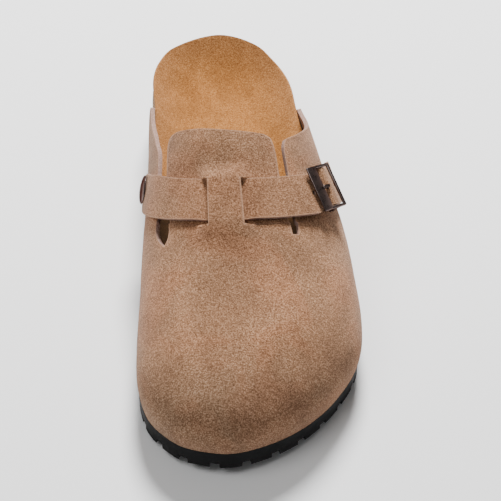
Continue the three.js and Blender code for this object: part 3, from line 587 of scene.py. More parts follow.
def cut_out(piece, cutter, **settings):
    """Cuts a closed piece out of another and removes it."""
    modified(piece, "BOOLEAN", object=cutter, operation="DIFFERENCE", **settings)
    bpy.data.objects.remove(cutter)


def smoothed(piece, degrees):
    """Shades a piece smooth, apart from edges sharper than an angle."""
    bpy.ops.object.select_all(action="DESELECT")
    piece.select_set(True)
    bpy.context.view_layer.objects.active = piece
    bpy.ops.object.shade_smooth_by_angle(angle=math.radians(degrees))
    return piece


def mark_edges(piece):
    """Stores how near each point of a sheet is to its open edge, from 0 to 1."""
    mesh = piece.data
    points = mesh_points(piece)
    ends = np.empty(len(mesh.edges) * 2, dtype=int)
    mesh.edges.foreach_get("vertices", ends)
    sides = np.empty(len(mesh.loops), dtype=int)
    mesh.loops.foreach_get("edge_index", sides)
    open_edge = np.bincount(sides, minlength=len(mesh.edges)) == 1
    rim = points[np.unique(ends.reshape(-1, 2)[open_edge])]
    distance = np.array([np.min(np.sum((rim - point) ** 2, axis=1)) for point in points]) ** 0.5
    nearness = mesh.attributes.new("edge_nearness", "FLOAT", "POINT")
    nearness.data.foreach_set("value", np.clip(1 - distance / EDGE_BAND, 0, 1))


def joined(name, pieces):
    """One piece of several, all deselected."""
    bpy.ops.object.select_all(action="DESELECT")
    for piece in pieces:
        piece.select_set(True)
    bpy.context.view_layer.objects.active = pieces[0]
    bpy.ops.object.join()
    piece = named(bpy.context.object, name)
    bpy.ops.object.select_all(action="DESELECT")
    return piece


def slab_piece(name, top, underside, cuts):
    """A closed slab between two sheets, whose side wall is bridged with some cuts."""
    upper_side = sheet_piece(name, top)
    lower_side = sheet_piece(name + "_underside", underside, flip=True)
    piece = joined(name, [upper_side, lower_side])
    piece.select_set(True)
    with edit_mode("DESELECT"):
        bpy.ops.mesh.select_mode(type="EDGE")
        bpy.ops.mesh.select_non_manifold(extend=False)
        bpy.ops.mesh.bridge_edge_loops(number_cuts=cuts)
        bpy.ops.mesh.select_all(action="SELECT")
        bpy.ops.mesh.normals_make_consistent(inside=False)
        bpy.ops.mesh.select_mode(type="VERT")
    piece.select_set(False)
    return piece


def solidified(piece, thickness, *materials, rim_slot=0):
    """Gives a sheet its materials and its thickness, inwards from its outer face."""
    for material in materials:
        piece.data.materials.append(material)
    return modified(
        piece,
        "SOLIDIFY",
        thickness=thickness * MM,
        offset=-1,
        use_even_offset=True,
        use_rim=True,
        material_offset_rim=rim_slot,
    )


def bevelled(piece, width, segments=2, angle=50, slot=-1):
    """Rounds a piece's edges. slot is the material of the rounding, or -1 for that of its sides."""
    return modified(
        piece,
        "BEVEL",
        width=width * MM,
        segments=segments,
        material=slot,
        limit_method="ANGLE",
        angle_limit=math.radians(angle),
        use_clamp_overlap=True,
    )


# Materials
class Value:
    """A number that changes over a surface. Its operators add Math nodes."""

    def __init__(self, nodes, socket):
        self.nodes = nodes
        self.socket = socket

    def maths(self, operation, *values):
        links = {i: value.socket if isinstance(value, Value) else value for i, value in enumerate(values)}
        return Value(self.nodes, self.nodes.add("ShaderNodeMath", {"operation": operation}, links, 0))

    def __add__(self, other):
        return self.maths("ADD", self, other)

    def __radd__(self, other):
        return self.maths("ADD", other, self)

    def __sub__(self, other):
        return self.maths("SUBTRACT", self, other)

    def __rsub__(self, other):
        return self.maths("SUBTRACT", other, self)

    def __mul__(self, other):
        return self.maths("MULTIPLY", self, other)

    def __rmul__(self, other):
        return self.maths("MULTIPLY", other, self)

    def smallest(self, other):
        return self.maths("MINIMUM", self, other)


class Finish:
    """A material whose nodes are made in code."""

    def __init__(self, name, **constants):
        self.material = bpy.data.materials.new(name)
        self.material.use_nodes = True
        self.tree = self.material.node_tree
        self.shader = self.tree.nodes["Principled BSDF"]
        for socket, value in constants.items():
            self.shader.inputs[socket.replace("_", " ")].default_value = value
        self.place = self.add("ShaderNodeTexCoord", {}, {}, "Object")

    def add(self, kind, settings, values, output):
        """Adds a node with its settings, then its values or links, and gives one of its outputs."""
        node = self.tree.nodes.new(kind)
        for name, value in settings.items():
            if name == "stops":
                while len(node.color_ramp.elements) < len(value):
                    node.color_ramp.elements.new(0.5)
                for element, (position, shade) in zip(node.color_ramp.elements, value):
                    element.position = position
                    element.color = (*shade, 1)
            else:
                setattr(node, name, value)
        for socket, value in values.items():
            if isinstance(value, Value):
                value = value.socket
            if isinstance(value, bpy.types.NodeSocket):
                self.tree.links.new(value, node.inputs[socket])
            else:
                node.inputs[socket].default_value = value
        return node.outputs[output]

    def noise(self, size, detail=2.0, roughness=0.5, distortion=0.0, at=None):
        """Noise from 0 to 1 with features of about a size in millimetres."""
        values = {
            "Vector": at or self.place,
            "Scale": 1 / (size * MM),
            "Detail": detail,
            "Roughness": roughness,
            "Distortion": distortion,
        }
        return Value(self, self.add("ShaderNodeTexNoise", {}, values, "Fac"))

    def cells(self, size, feature, output="Distance"):
        """Cells of about a size in millimetres."""
        values = {"Vector": self.place, "Scale": 1 / (size * MM)}
        socket = self.add("ShaderNodeTexVoronoi", {"feature": feature}, values, output)
        return Value(self, socket) if output == "Distance" else socket

    def zone(self, axis, low, high, to_low=0.0, to_high=1.0):
        """A share that goes from one value to another between two places on an axis, in metres."""
        place = Value(self, self.add("ShaderNodeSeparateXYZ", {}, {"Vector": self.place}, axis))
        return self.range(place, low, high, to_low, to_high)

    def own(self, name):
        """A value that is stored on the piece's points, 0 where there is none."""
        return Value(self, self.add("ShaderNodeAttribute", {"attribute_name": name}, {}, "Fac"))

    def range(self, value, low, high, to_low=0.0, to_high=1.0):
        """Maps a value smoothly from one range to another, held at its ends."""
        settings = {"interpolation_type": "SMOOTHSTEP", "clamp": True}
        values = {0: value, 1: low, 2: high, 3: to_low, 4: to_high}
        return Value(self, self.add("ShaderNodeMapRange", settings, values, 0))

    def stretched(self, scale, turn):
        """The place with its axes turned and stretched."""
        values = {"Vector": self.place, "Scale": scale, "Rotation": turn}
        return self.add("ShaderNodeMapping", {}, values, 0)

    def mix(self, share, first, second, way="MIX"):
        """A mix of two colours."""
        settings = {"data_type": "RGBA", "blend_type": way, "clamp_factor": True}
        colours = {
            6: (*first, 1) if isinstance(first, tuple) else first,
            7: (*second, 1) if isinstance(second, tuple) else second,
        }
        return self.add("ShaderNodeMix", settings, {0: share, **colours}, 2)

    def tinted(self, share, colour, tint):
        """The colour, multiplied by a tint as far as the share says."""
        return self.mix(share, colour, self.mix(1.0, colour, tint, "MULTIPLY"))

    def shades(self, value, *stops):
        """A colour from a value, through stops of a position and a colour."""
        return self.add("ShaderNodeValToRGB", {"stops": stops}, {"Fac": value}, "Color")

    def bump(self, height, depth, strength=1.0):
        """A bump of a depth in millimetres."""
        values = {"Height": height, "Distance": depth * MM, "Strength": strength}
        return self.add("ShaderNodeBump", {}, values, "Normal")

    def link(self, **sockets):
        """Links values to the shader's own sockets."""
        for name, value in sockets.items():
            socket = value.socket if isinstance(value, Value) else value
            self.tree.links.new(socket, self.shader.inputs[name.replace("_", " ")])
        return self.material


SUEDE_MIDDLE = (0.25, 0.127, 0.065)
SUEDE_DARK = (0.11, 0.049, 0.022)
SUEDE_LIGHT = (0.46, 0.265, 0.155)
EDGE_PALE = (0.27, 0.165, 0.13)
EDGE_LINE = (0.42, 0.245, 0.155)
TAN_MIDDLE = (0.272, 0.108, 0.027)
TAN_DARK = (0.165, 0.06, 0.013)
TAN_LIGHT = (0.395, 0.177, 0.053)
CORK_MIDDLE = (0.28, 0.15, 0.07)
CORK_DARK = (0.055, 0.028, 0.014)
CORK_LIGHT = (0.42, 0.26, 0.13)
EDGE_DARK = (0.17, 0.1, 0.075)
EDGE_LIGHT = (0.4, 0.28, 0.23)
FOAM = (0.008, 0.008, 0.0082)
FOAM_SCUFF = (0.016, 0.015, 0.015)
BRONZE_DARK = (0.13, 0.098, 0.091)
BRONZE_LIGHT = (0.155, 0.118, 0.109)

# Tints that a colour is multiplied by
BRUSHED_DARK = (0.84, 0.825, 0.81)
BRUSHED_LIGHT = (1.14, 1.14, 1.13)
WARM_PATCH = (1.12, 0.94, 0.86)
# Painted shade: darkens and greys the front and the lowest band of the toe
TOE_PAINTED_SHADE = (0.74, 0.88, 1.02)
# Painted shade: darkens the suede high up behind the vamp, over strap, tongue and bridge
INSTEP_PAINTED_SHADE = (0.91, 0.915, 0.925)
# Painted light: brightens the suede on the outer side by the instep
OUTER_SIDE_PAINTED_LIGHT = (1.17, 1.14, 1.03)
WORN_DARK = (0.86, 0.84, 0.8)
WORN_LIGHT = (1.12, 1.13, 1.15)
# Painted light: paler, greyer footbed suede high on the rim at the heel
HEEL_RIM_PAINTED_LIGHT = (1.32, 1.46, 2.05)
# Painted shade: darkens the footbed inside the toe box
FOREFOOT_PAINTED_SHADE = (0.1, 0.105, 0.11)


def napped(finish, middle, dark, light, grain, nap_depth):
    """The speckled colour of a short nap, with a bump for it."""
    speckle = finish.noise(grain, detail=2, roughness=0.8)
    clumps = finish.noise(grain * 2.6, detail=2, roughness=0.6, distortion=0.4)
    fibre = speckle * 0.86 + clumps * 0.14
    colour = finish.shades(fibre, (0.36, dark), (0.5, middle), (0.64, light))
    return colour, finish.bump(fibre, nap_depth, 1.0)


def suede():
    """Taupe suede: a speckled nap brushed in soft lighter and darker patches, with painted shade low on the
    toe and over the instep and painted light on the outer side.
    """
    finish = Finish(
        "upper_suede",
        Roughness=0.95,
        Specular_IOR_Level=0.12,
        Sheen_Weight=0.12,
        Sheen_Roughness=0.55,
        Sheen_Tint=(0.95, 0.8, 0.7, 1),
    )
    colour, normal = napped(finish, SUEDE_MIDDLE, SUEDE_DARK, SUEDE_LIGHT, 0.72, 0.22)
    patches = finish.noise(26, detail=3, roughness=0.55, distortion=0.5)
    brushed = finish.range(patches, 0.32, 0.68, 0.0, 1.0)
    tone = finish.mix(brushed, BRUSHED_DARK, BRUSHED_LIGHT)
    colour = finish.mix(1.0, colour, tone, "MULTIPLY")
    warm = finish.range(finish.noise(34, detail=2, distortion=0.8), 0.4, 0.65, 0.0, 0.55)
    colour = finish.tinted(warm, colour, WARM_PATCH)
    # Painted shade: the toe's front and a low band are darkened as if turned away from the light
    front = finish.zone("Y", -0.128, -0.09, 1.0, 0.0)
    low = finish.zone("Z", 0.02, 0.045, 1.0, 0.0)
    shade = (front * 0.65 + low * 0.1).smallest(0.7)
    colour = finish.tinted(shade, colour, TOE_PAINTED_SHADE)
    # Painted shade over the instep: the top of the upper behind the vamp is darkened
    behind = finish.zone("Y", -0.08, -0.035, 0.0, 1.0)
    central = finish.zone("Z", 0.05, 0.062, 0.0, 1.0)
    colour = finish.tinted(behind * central, colour, INSTEP_PAINTED_SHADE)
    # Painted light: the outer side is brightened as if lit more strongly
    outer = finish.zone("X", 0.036, 0.048) * finish.zone("Y", -0.005, 0.02)
    colour = finish.tinted(outer, colour, OUTER_SIDE_PAINTED_LIGHT)
    bare = finish.range(finish.own("edge_nearness"), 0.45, 0.85, 0.0, 0.5) * finish.zone("Z", 0.02, 0.034)
    colour = finish.mix(bare, colour, EDGE_LINE)
    return finish.link(Base_Color=colour, Normal=normal)


def cut_edge():
    """The raw cut edge of the suede: paler, with layers of fibre."""
    finish = Finish("suede_cut_edge", Roughness=0.9, Specular_IOR_Level=0.15)
    fibre = finish.noise(0.7, detail=3, roughness=0.6)
    colour = finish.shades(fibre, (0.3, EDGE_DARK), (0.5, EDGE_PALE), (0.75, EDGE_LIGHT))
    return finish.link(Base_Color=colour, Normal=finish.bump(fibre, 0.2, 1.0))


def footbed_suede():
    """Tan suede of the footbed: an even nap, with painted light where it rises at the heel and painted
    shade under the toes.
    """
    finish = Finish(
        "footbed_suede",
        Roughness=0.95,
        Specular_IOR_Level=0.1,
        Sheen_Weight=0.08,
        Sheen_Roughness=0.5,
        Sheen_Tint=(1.0, 0.8, 0.55, 1),
    )
    colour, normal = napped(finish, TAN_MIDDLE, TAN_DARK, TAN_LIGHT, 0.68, 0.18)
    patches = finish.noise(22, detail=3, roughness=0.55, distortion=0.6)
    tone = finish.mix(finish.range(patches, 0.35, 0.65), WORN_DARK, WORN_LIGHT)
    colour = finish.mix(1.0, colour, tone, "MULTIPLY")
    # Painted light on the raised rim at the heel
    back = finish.zone("Z", 0.028, 0.042, 0.0, 0.75)
    colour = finish.tinted(back, colour, HEEL_RIM_PAINTED_LIGHT)
    # Painted shade: the footbed under the toe box is darkened as if little light reached it
    inside = finish.zone("Y", 0.005, 0.045, 1.0, 0.0)
    colour = finish.tinted(inside, colour, FOREFOOT_PAINTED_SHADE)
    return finish.link(Base_Color=colour, Normal=normal)


def cork():
    """Pressed cork: light and brown grains with dark gaps."""
    finish = Finish("cork", Roughness=0.8, Specular_IOR_Level=0.25)
    grain = finish.cells(2.1, "F1", "Color")
    tint = Value(finish, finish.add("ShaderNodeSeparateColor", {}, {"Color": grain}, "Red"))
    gaps = finish.cells(2.1, "DISTANCE_TO_EDGE")
    fine = finish.noise(0.6, detail=3, roughness=0.6)
    stops = (0.15, CORK_DARK), (0.3, CORK_MIDDLE), (0.6, CORK_MIDDLE), (0.95, CORK_LIGHT)
    colour = finish.shades(tint * 0.75 + fine * 0.3, *stops)
    seam = finish.range(gaps, 0.0, 0.09, 1.0, 0.0)
    colour = finish.mix(seam * 0.6, colour, CORK_DARK)
    height = fine * 0.4 - seam
    return finish.link(Base_Color=colour, Normal=finish.bump(height, 0.25, 0.8))


def foam_rubber():
    """Black foam rubber: dull, with fine pores and faint scuffs."""
    finish = Finish("sole_foam", Roughness=0.7, Specular_IOR_Level=0.1)
    pores = finish.noise(0.55, detail=3, roughness=0.7)
    scuffs = finish.noise(14, detail=5, roughness=0.7)
    colour = finish.mix(finish.range(scuffs, 0.5, 0.8, 0.0, 0.55), FOAM, FOAM_SCUFF)
    rough = finish.range(scuffs, 0.35, 0.7, 0.5, 0.78)
    return finish.link(Base_Color=colour, Roughness=rough, Normal=finish.bump(pores, 0.1, 0.6))


def bronze():
    """Dark bronze, polished, with wear on it in fine scratches."""
    finish = Finish("dark_bronze", Metallic=1.0, Roughness=0.3, Specular_Tint=(0.2, 0.16, 0.145, 1))
    cloud = finish.noise(3.5, detail=4, roughness=0.6)
    scratches = finish.noise(0.5, detail=2, at=finish.stretched((0.25, 3.0, 1.0), (0, 0, 0.5)))
    colour = finish.shades(cloud, (0.3, BRONZE_DARK), (0.7, BRONZE_LIGHT))
    rough = finish.range(cloud * 0.6 + scratches * 0.4, 0.3, 0.7, 0.22, 0.42)
    return finish.link(Base_Color=colour, Roughness=rough, Normal=finish.bump(scratches, 0.02, 0.4))


UPPER_SUEDE = suede()
CUT_EDGE = cut_edge()
FOOTBED_SUEDE = footbed_suede()
CORK = cork()
FOAM_RUBBER = foam_rubber()
DARK_BRONZE = bronze()


def dressed(piece, material=None):
    """Gives a piece its body and, unless it has its own, one material all over."""
    if material:
        piece.data.materials.clear()
        piece.data.polygons.foreach_set("material_index", np.zeros(len(piece.data.polygons), dtype=int))
        piece.data.materials.append(material)
    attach(piece, "root")


def steps(start, end, step):
    """Even places from start to end, about a step apart."""
    return np.linspace(start, end, max(2, int(round(abs(end - start) / step)) + 1))


def stretches(start, *parts):
    """Places from a start through parts, each with its end and its step."""
    places = np.array([start])
    for end, step in parts:
        places = np.r_[places, steps(places[-1], end, step)[1:]]
    return places


# Sole
def plan_grid(outline):
    """Rays over an outline: rows along the shoe with fans at both ends, and columns across."""
    fans = np.arange(END_ROWS, 0, -1) / END_ROWS
    body = steps(y_at(TOE_CENTRE), y_at(HEEL_CENTRE), ROW_STEP)
    y = np.r_[np.full(END_ROWS, y_at(TOE_CENTRE)), body, np.full(END_ROWS, y_at(HEEL_CENTRE))]
    fan = np.r_[fans, np.zeros_like(body), fans[::-1]]
    end = np.r_[np.full(END_ROWS + len(body), -1.0), np.full(END_ROWS, 1.0)]
    across = np.linspace(-1, 1, COLUMNS)
    size = (len(y), COLUMNS)
    grid = [np.broadcast_to(values[:, None], size).ravel() for values in (y, fan, end)]
    places = np.broadcast_to(across, size).ravel()
    starts, direction, reach, share = outline.rays(*grid, places, outline.middle)
    plan = starts + direction * (reach * share)[:, None]
    return plan.reshape(*size, 2), direction.reshape(*size, 2), share.reshape(size)


def notch_cutters():
    """Boxes that cut the notches round the sole's edge."""
    outline = feather.points
    inward = inward_of(outline)
    around = np.linalg.norm(np.roll(outline, -1, axis=0) - outline, axis=1).sum()
    count = int(round(around / LUG_PITCH))
    cutters = []
    for i in range(count):
        k = int(round((i + 0.5) / count * len(outline))) % len(outline)
        x, y = outline[k]
        turn = math.atan2(-inward[k, 0], inward[k, 1])
        deep = tread_height(y + inward[k, 1] * NOTCH_REACH / 2)
        bpy.ops.mesh.primitive_cube_add(
            size=1,
            location=placed((x, y, deep)),
            rotation=(0, 0, turn),
            scale=(NOTCH_WIDTH * MM, 2 * NOTCH_REACH * MM, 2 * NOTCH_DEPTH * MM),
        )
        cutters.append(settle(bpy.context.object, "notch"))
    return joined("notches", cutters)


def groove_cutter(y):
    """A bar in waves that cuts one groove across the tread."""
    left = WAVE_MARGIN - feather.side(0.0, y, -1)
    right = feather.side(0.0, y, 1) - WAVE_MARGIN
    places = steps(left, right, 2.5)
    wave = WAVE_HEIGHT / 2 * np.cos(math.pi * places / (WAVE_LENGTH / 2))
    low = tread_height(y) - NOTCH_DEPTH
    corners = [(-1, 0), (1, 0), (1, 1), (-1, 1), (-1, 0)]
    rows = [
        [(x, y + shift + side * WAVE_WIDTH / 2, low + up * 2 * NOTCH_DEPTH) for side, up in corners]
        for x, shift in zip(places, wave)
    ]
    bar = sheet_piece("groove", np.array(rows))
    bar.select_set(True)
    with edit_mode():
        bpy.ops.mesh.fill_holes(sides=4)
        bpy.ops.mesh.normals_make_consistent(inside=False)
    return bar


def make_outsole():
    """The foam sole with its notched edge and its grooves in waves."""
    plan, _, _ = plan_grid(feather)
    top = np.dstack((plan, sole_top(plan[..., 1])))
    underside = np.dstack((plan, tread_height(plan[..., 1])))
    sole = slab_piece("foam_outsole", top, underside, 5)
    first = y_at(0) + WAVE_PITCH
    count = int((LENGTH - 2 * WAVE_PITCH) // WAVE_PITCH)
    grooves = [groove_cutter(first + i * WAVE_PITCH) for i in range(count + 1)]
    for cutter in (notch_cutters(), joined("grooves", grooves)):
        cut_out(sole, cutter, solver="MANIFOLD")
    bevelled(sole, 0.35, 2, 40)
    smoothed(sole, 35)
    dressed(sole, FOAM_RUBBER)
    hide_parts("outsole")


# Footbed
WING_REAR = max(last_point(y_at(WING_END), side)[1] for side in (-1.0, 1.0))


def open_heel(y):
    return blend(WING_REAR - 6, WING_REAR + 30, y)


BED_INSET = (LEATHER + 2 * GAP) * (1 - open_heel(feather.points[:, 1]))
bed = Outline(inset(feather.points, BED_INSET))


def footbed_top(plan, direction, share):
    y = plan[..., 1]
    at = along_at(y)
    outwards = (1 + direction[..., 0]) / 2
    rise = lerp(column(FOOTBED, "innerRise", at), column(FOOTBED, "outerRise", at), outwards)
    rim = CUP_DEPTH * rise * share**RIM_SHARPNESS
    return sole_top(y) + GAP + HEEL_SEAT * column(FOOTBED, "seat", at) + rim


def make_footbed():
    """The cork layer and the suede cover on it."""
    plan, direction, share = plan_grid(bed)
    height = footbed_top(plan, direction, share)
    top = np.dstack((plan, height))
    underside = np.dstack((plan, sole_top(plan[..., 1]) + GAP))
    layer = slab_piece("cork_layer", top, underside, 7)
    points = mesh_points(layer) + np.array(ORIGIN)
    swell_cork(points, bed)
    layer.data.vertices.foreach_set("co", placed(points).reshape(-1))
    bevelled(layer, 0.4, 2, 50)
    smoothed(layer, 40)
    dressed(layer, CORK)
    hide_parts("cork_footbed")
    lining = np.dstack((plan, height + GAP + LINER))
    cover = sheet_piece("footbed_cover", lining)
    solidified(cover, LINER, FOOTBED_SUEDE, CUT_EDGE)
    bevelled(cover, 0.45, 3, 50)
    smoothed(cover, 45)
    dressed(cover)
    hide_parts("insole")


def swell_cork(points, outline):
    """Moves the side wall's points outwards where the heel is open, most at half its height."""
    centre = np.c_[outline.middle(points[:, 1]), np.clip(points[:, 1], y_at(TOE_CENTRE), y_at(HEEL_CENTRE))]
    way = points[:, :2] - centre
    size = np.linalg.norm(way, axis=1)
    low = sole_top(points[:, 1]) + GAP
    edge = np.array([np.min(np.linalg.norm(outline.points - p, axis=1)) for p in points[:, :2]])
    wall = (edge < CORK_WALL) & (size > 1)
    tall = HEEL_SEAT * column(FOOTBED, "seat", along_at(points[:, 1])) + CUP_DEPTH
    level = np.clip((points[:, 2] - low) / tall, 0, 1)
    swell = CORK_BULGE * np.sin(math.pi * level) * open_heel(points[:, 1])
    move = way / np.where(size > 1, size, 1)[:, None] * swell[:, None]
    points[wall, :2] += move[wall]


# Upper
def upper_rows():
    """The places of the upper's rows along the shoe, and the fan of each row in the rounded toe."""
    places = stretches(
        y_at(TOE_CENTRE),
        (y_at(SLIT_START_INNER), 2.2),
        (y_at(0.41), 0.6),
        (y_at(0.5), 0.8),
        (y_at(0.545), 1.2),
        (y_at(TONGUE_END), 0.33),
        (y_at(0.76), 1.6),
        (y_at(WING_END), 0.7),
    )
    fans = np.sin(np.linspace(1, 1 / TOE_ROWS, TOE_ROWS) * math.pi / 2)
    return np.r_[np.full(TOE_ROWS, y_at(TOE_CENTRE)), places], np.r_[fans, np.zeros_like(places)]


def upper_cells(y, fan, gaps, slits, columns):
    """Which cells of the upper stay. Its gaps open beside the tongue and its slits beside the bridge."""
    number = np.arange(columns - 1)[None, :]
    middle = ((y[:-1] + y[1:]) / 2)[:, None]
    fanned = (fan[:-1] > 0)[:, None]
    keep = fanned | (number < gaps[0]) | (number > gaps[1]) | (middle < y_at(TONGUE_END))
    for gap, gap_start in zip(gaps, (SLIT_START_INNER, SLIT_START_OUTER)):
        keep &= ~((number == gap) & ~fanned & (middle > y_at(gap_start)))
    return keep & (number != slits[0]) & (number != slits[1])


def upper_height(across, base, on_bridge):
    """How far the upper stands off the last. It arches over the strap and dips beside the bridge."""
    band = band_place(base)
    away = np.abs(band) - STRAP_WIDTH / 2
    front = band < 0
    distance = np.interp(across, STRAP_SHARES, STRAP_LENGTHS)
    beside = np.abs(distance - BRIDGE_AT) - BRIDGE_WIDTH / 2
    raised = strap_lift(BRIDGE_AT) + STRAP_THICKNESS + GAP + LEATHER
    arch = raised * (1 - blend(-1.0, np.where(front, BRIDGE_FALL_FRONT, BRIDGE_FALL_BACK), away))
    groove = EDGE_GROOVE * front * blend(*GROOVE_WIDTH, away) * (1 - blend(*GROOVE_ENDS, np.abs(distance)))
    sunk = np.minimum(-(BRIDGE_SINK + GAP) * (1 - blend(*SINK_FADE, beside)), -groove)
    joint = arch * (1 - blend(0, JOINT_REACH, beside))
    rising = np.where(front, blend(*JOINT_FRONT, away), blend(*JOINT_BACK, away))
    return np.where(on_bridge, arch, lerp(sunk, joint, rising))


def make_upper():
    """The hollow suede upper: flaps, tongue, slits and the bridge that the strap goes under."""
    y, fan = upper_rows()
    at = np.where(fan > 0, 0, along_at(y))
    cut = {name: column(PATTERN, name, at)[:, None] for name in PATTERN if name != "along"}
    back_cut = cut["skew"] * LENGTH
    inner_edge = share_at(BRIDGE_AT - BRIDGE_WIDTH / 2)
    outer_edge = share_at(BRIDGE_AT + BRIDGE_WIDTH / 2)
    strips = [
        (-1, cut["innerFlap"], 40),
        (cut["innerTongue"], inner_edge, 14),
        (np.full_like(back_cut, inner_edge), outer_edge, 9),
        (outer_edge, cut["outerTongue"], 9),
        (cut["outerFlap"], 1, 40),
    ]
    across = np.hstack([lerp(start, end, np.linspace(0, 1, count)) for start, end, count in strips])
    strip_ends = np.cumsum([count for _, _, count in strips]) - 1
    gaps = strip_ends[[0, 3]]
    slits = strip_ends[[1, 2]]
    number = np.arange(across.shape[1])
    on_bridge = (number > slits[0]) & (number <= slits[1])
    base = last_point(y[:, None] - back_cut * across, across, fan[:, None] + np.zeros_like(across))
    height = np.where(fan[:, None] > 0, 0, upper_height(across, base, on_bridge))
    points = base + sheet_normals(base, *slits) * height[..., None]
    upper = sheet_piece("suede_upper", points, upper_cells(y, fan, gaps, slits, len(number)))
    mark_edges(upper)
    solidified(upper, LEATHER, UPPER_SUEDE, CUT_EDGE, rim_slot=1)
    bevelled(upper, 0.5, 2, 50, slot=1)
    smoothed(upper, 50)
    dressed(upper)
    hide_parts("upper")


def sheet_normals(points, *doubled):
    """Unit normals of rows of points. Columns that lie on each other share theirs."""
    along = np.gradient(points, axis=0)
    across = np.gradient(points, axis=1)
    for left in doubled:
        step = points[:, left + 2] - points[:, left - 1]
        across[:, left] = step
        across[:, left + 1] = step
    return unit(np.cross(across, along) + 1e-9)


# Strap
def make_strap():
    """The strap with its rounded ends and its punched holes."""
    start = -STRAP_INNER_END
    end = BUCKLE_AT + STRAP_TAIL
    turn = STRAP_CORNER * (1 - np.cos(np.linspace(0, math.pi / 2, 10)))
    body = stretches(
        start + STRAP_CORNER,
        (-16, 1.6),
        (16, 0.8),
        (BUCKLE_AT - 14, 1.6),
        (BUCKLE_AT + 12, 0.6),
        (end - STRAP_CORNER, 1.6),
    )
    distances = np.r_[start + turn, body[1:], (end - turn)[::-1][1:]]
    left = np.minimum(distances - start, end - distances)
    curve = np.clip(1 - left / STRAP_CORNER, 0, 1)
    taper = STRAP_TAPER * blend(BUCKLE_AT + PLATE_FROM, BUCKLE_AT + ARM_FROM - 1, distances)
    widest = (STRAP_WIDTH - inner_narrowing(distances)) / 2 - taper
    half = widest - STRAP_CORNER + STRAP_CORNER * np.sqrt(1 - curve**2)
    across = np.sin(np.linspace(-1, 1, 19) * math.pi / 2 * 0.9) / math.sin(math.pi / 2 * 0.9)
    crown = STRAP_CROWN * (1 - across**2)
    lift = strap_lift(distances) + STRAP_THICKNESS - STRAP_CROWN
    sheet = strap_sheet(distances, half[:, None] * across, lift)
    out = strap_frame(distances)[3]
    sheet = sheet + out[:, None] * crown[None, :, None]
    strap = sheet_piece("suede_strap", sheet.transpose(1, 0, 2))
    mark_edges(strap)
    solidified(strap, STRAP_THICKNESS, UPPER_SUEDE, CUT_EDGE, rim_slot=1)
    lean = (STRAP_HUMP + STRAP_THICKNESS / 2) * math.tan(math.radians(BUCKLE_TILT))
    holes = []
    for i in range(-HOLES_BEFORE_PRONG, HOLES_AFTER_PRONG + 1):
        hole_at = np.array([BUCKLE_AT + PRONG_AT - lean + i * HOLE_PITCH])
        point, _, across_way, out, _ = strap_frame(hole_at)
        middle = point[0] + across_way[0] * strap_drift(hole_at)[0] + out[0] * 5
        holes.append(rod_piece("hole", 20, HOLE_RADIUS, 14, placed(middle), turned_out(out[0])))
    cutter = joined("holes", holes)
    cutter.data.materials.append(CUT_EDGE)
    cut_out(strap, cutter, solver="MANIFOLD")
    bevelled(strap, 0.45, 3, 50, slot=1)
    smoothed(strap, 50)
    dressed(strap)
    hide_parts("strap")


def make_rivet():
    """The domed rivet on the inner side and the washer inside the upper."""
    point, _, _, out, _ = (values[0] for values in strap_frame(np.array([-RIVET_AT])))
    cap = STRAP_THICKNESS + 2 * GAP
    turn = turned_out(out)
    bpy.ops.mesh.primitive_uv_sphere_add(segments=48, ring_count=24, radius=1)
    dome = bpy.context.object
    with edit_mode():
        bpy.ops.mesh.bisect(plane_co=(0, 0, 0), plane_no=(0, 0, 1), clear_inner=True, use_fill=True)
    dome.scale = (RIVET_RADIUS * MM, RIVET_RADIUS * MM, RIVET_DOME * MM)
    dome.rotation_euler = turn
    dome.location = placed(point + out * cap)
    settle(dome, "rivet_dome")
    shank_length = cap + LEATHER + 2 * GAP
    middle = placed(point + out * (cap - shank_length / 2))
    shank = rod_piece("rivet_shank", 24, SHANK_RADIUS, shank_length, middle, turn)
    under = placed(point - out * (LEATHER + 2 * GAP + WASHER_THICKNESS / 2))
    washer = rod_piece("rivet_washer", 40, WASHER_RADIUS, WASHER_THICKNESS, under, turn)
    rivet = joined("rivet", [dome, shank, washer])
    bevelled(rivet, 0.3, 3, 50)
    smoothed(rivet, 40)
    dressed(rivet, DARK_BRONZE)
    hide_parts("strap_rivet")


# Buckle
def buckle_seat():
    """The buckle's own frame: x along the strap, y across it and z out from the shoe."""
    point, along, across, out, _ = strap_frame(np.array([BUCKLE_AT]))
    point = point[0] + across[0] * strap_drift(BUCKLE_AT)
    columns = (*along[0], 0), (*across[0], 0), (*out[0], 0), (*placed(point), 1)
    return Matrix(columns).transposed() @ Matrix.Rotation(-math.radians(BUCKLE_TILT), 4, "Y")


SEAT = buckle_seat()


def seated(piece, name):
    """Puts a piece that was made at the origin into the buckle's frame."""
    settle(piece, name)
    piece.data.transform(SEAT)
    return piece


def profile_piece(name, outline, low, high, splay=0.0):
    """A side view of the buckle, as places along it and heights, made solid from low to high across it.
    splay is how far it leans out from the outer bar to the plate."""
    bpy.ops.mesh.primitive_circle_add(vertices=len(outline), radius=1, fill_type="NGON")
    piece = bpy.context.object
    corners = np.array([(x * MM, low * MM, z * MM) for x, z in outline])
    piece.data.vertices.foreach_set("co", corners.reshape(-1))
    with edit_mode():
        bpy.ops.mesh.extrude_region_move(TRANSFORM_OT_translate={"value": (0, (high - low) * MM, 0)})
        bpy.ops.mesh.select_all(action="SELECT")
        bpy.ops.mesh.normals_make_consistent(inside=False)
    for vertex in piece.data.vertices:
        vertex.co.y += splay * (OUTER_BAR_AT * MM - vertex.co.x) / (OUTER_BAR_AT - ARM_FROM)
    return seated(piece, name)


def bar_piece(name, at, height, radius, half):
    bar = rod_piece(name, 24, radius, 2 * half, (at * MM, 0, height * MM), (math.pi / 2, 0, 0))
    bar.data.transform(SEAT)
    return bar


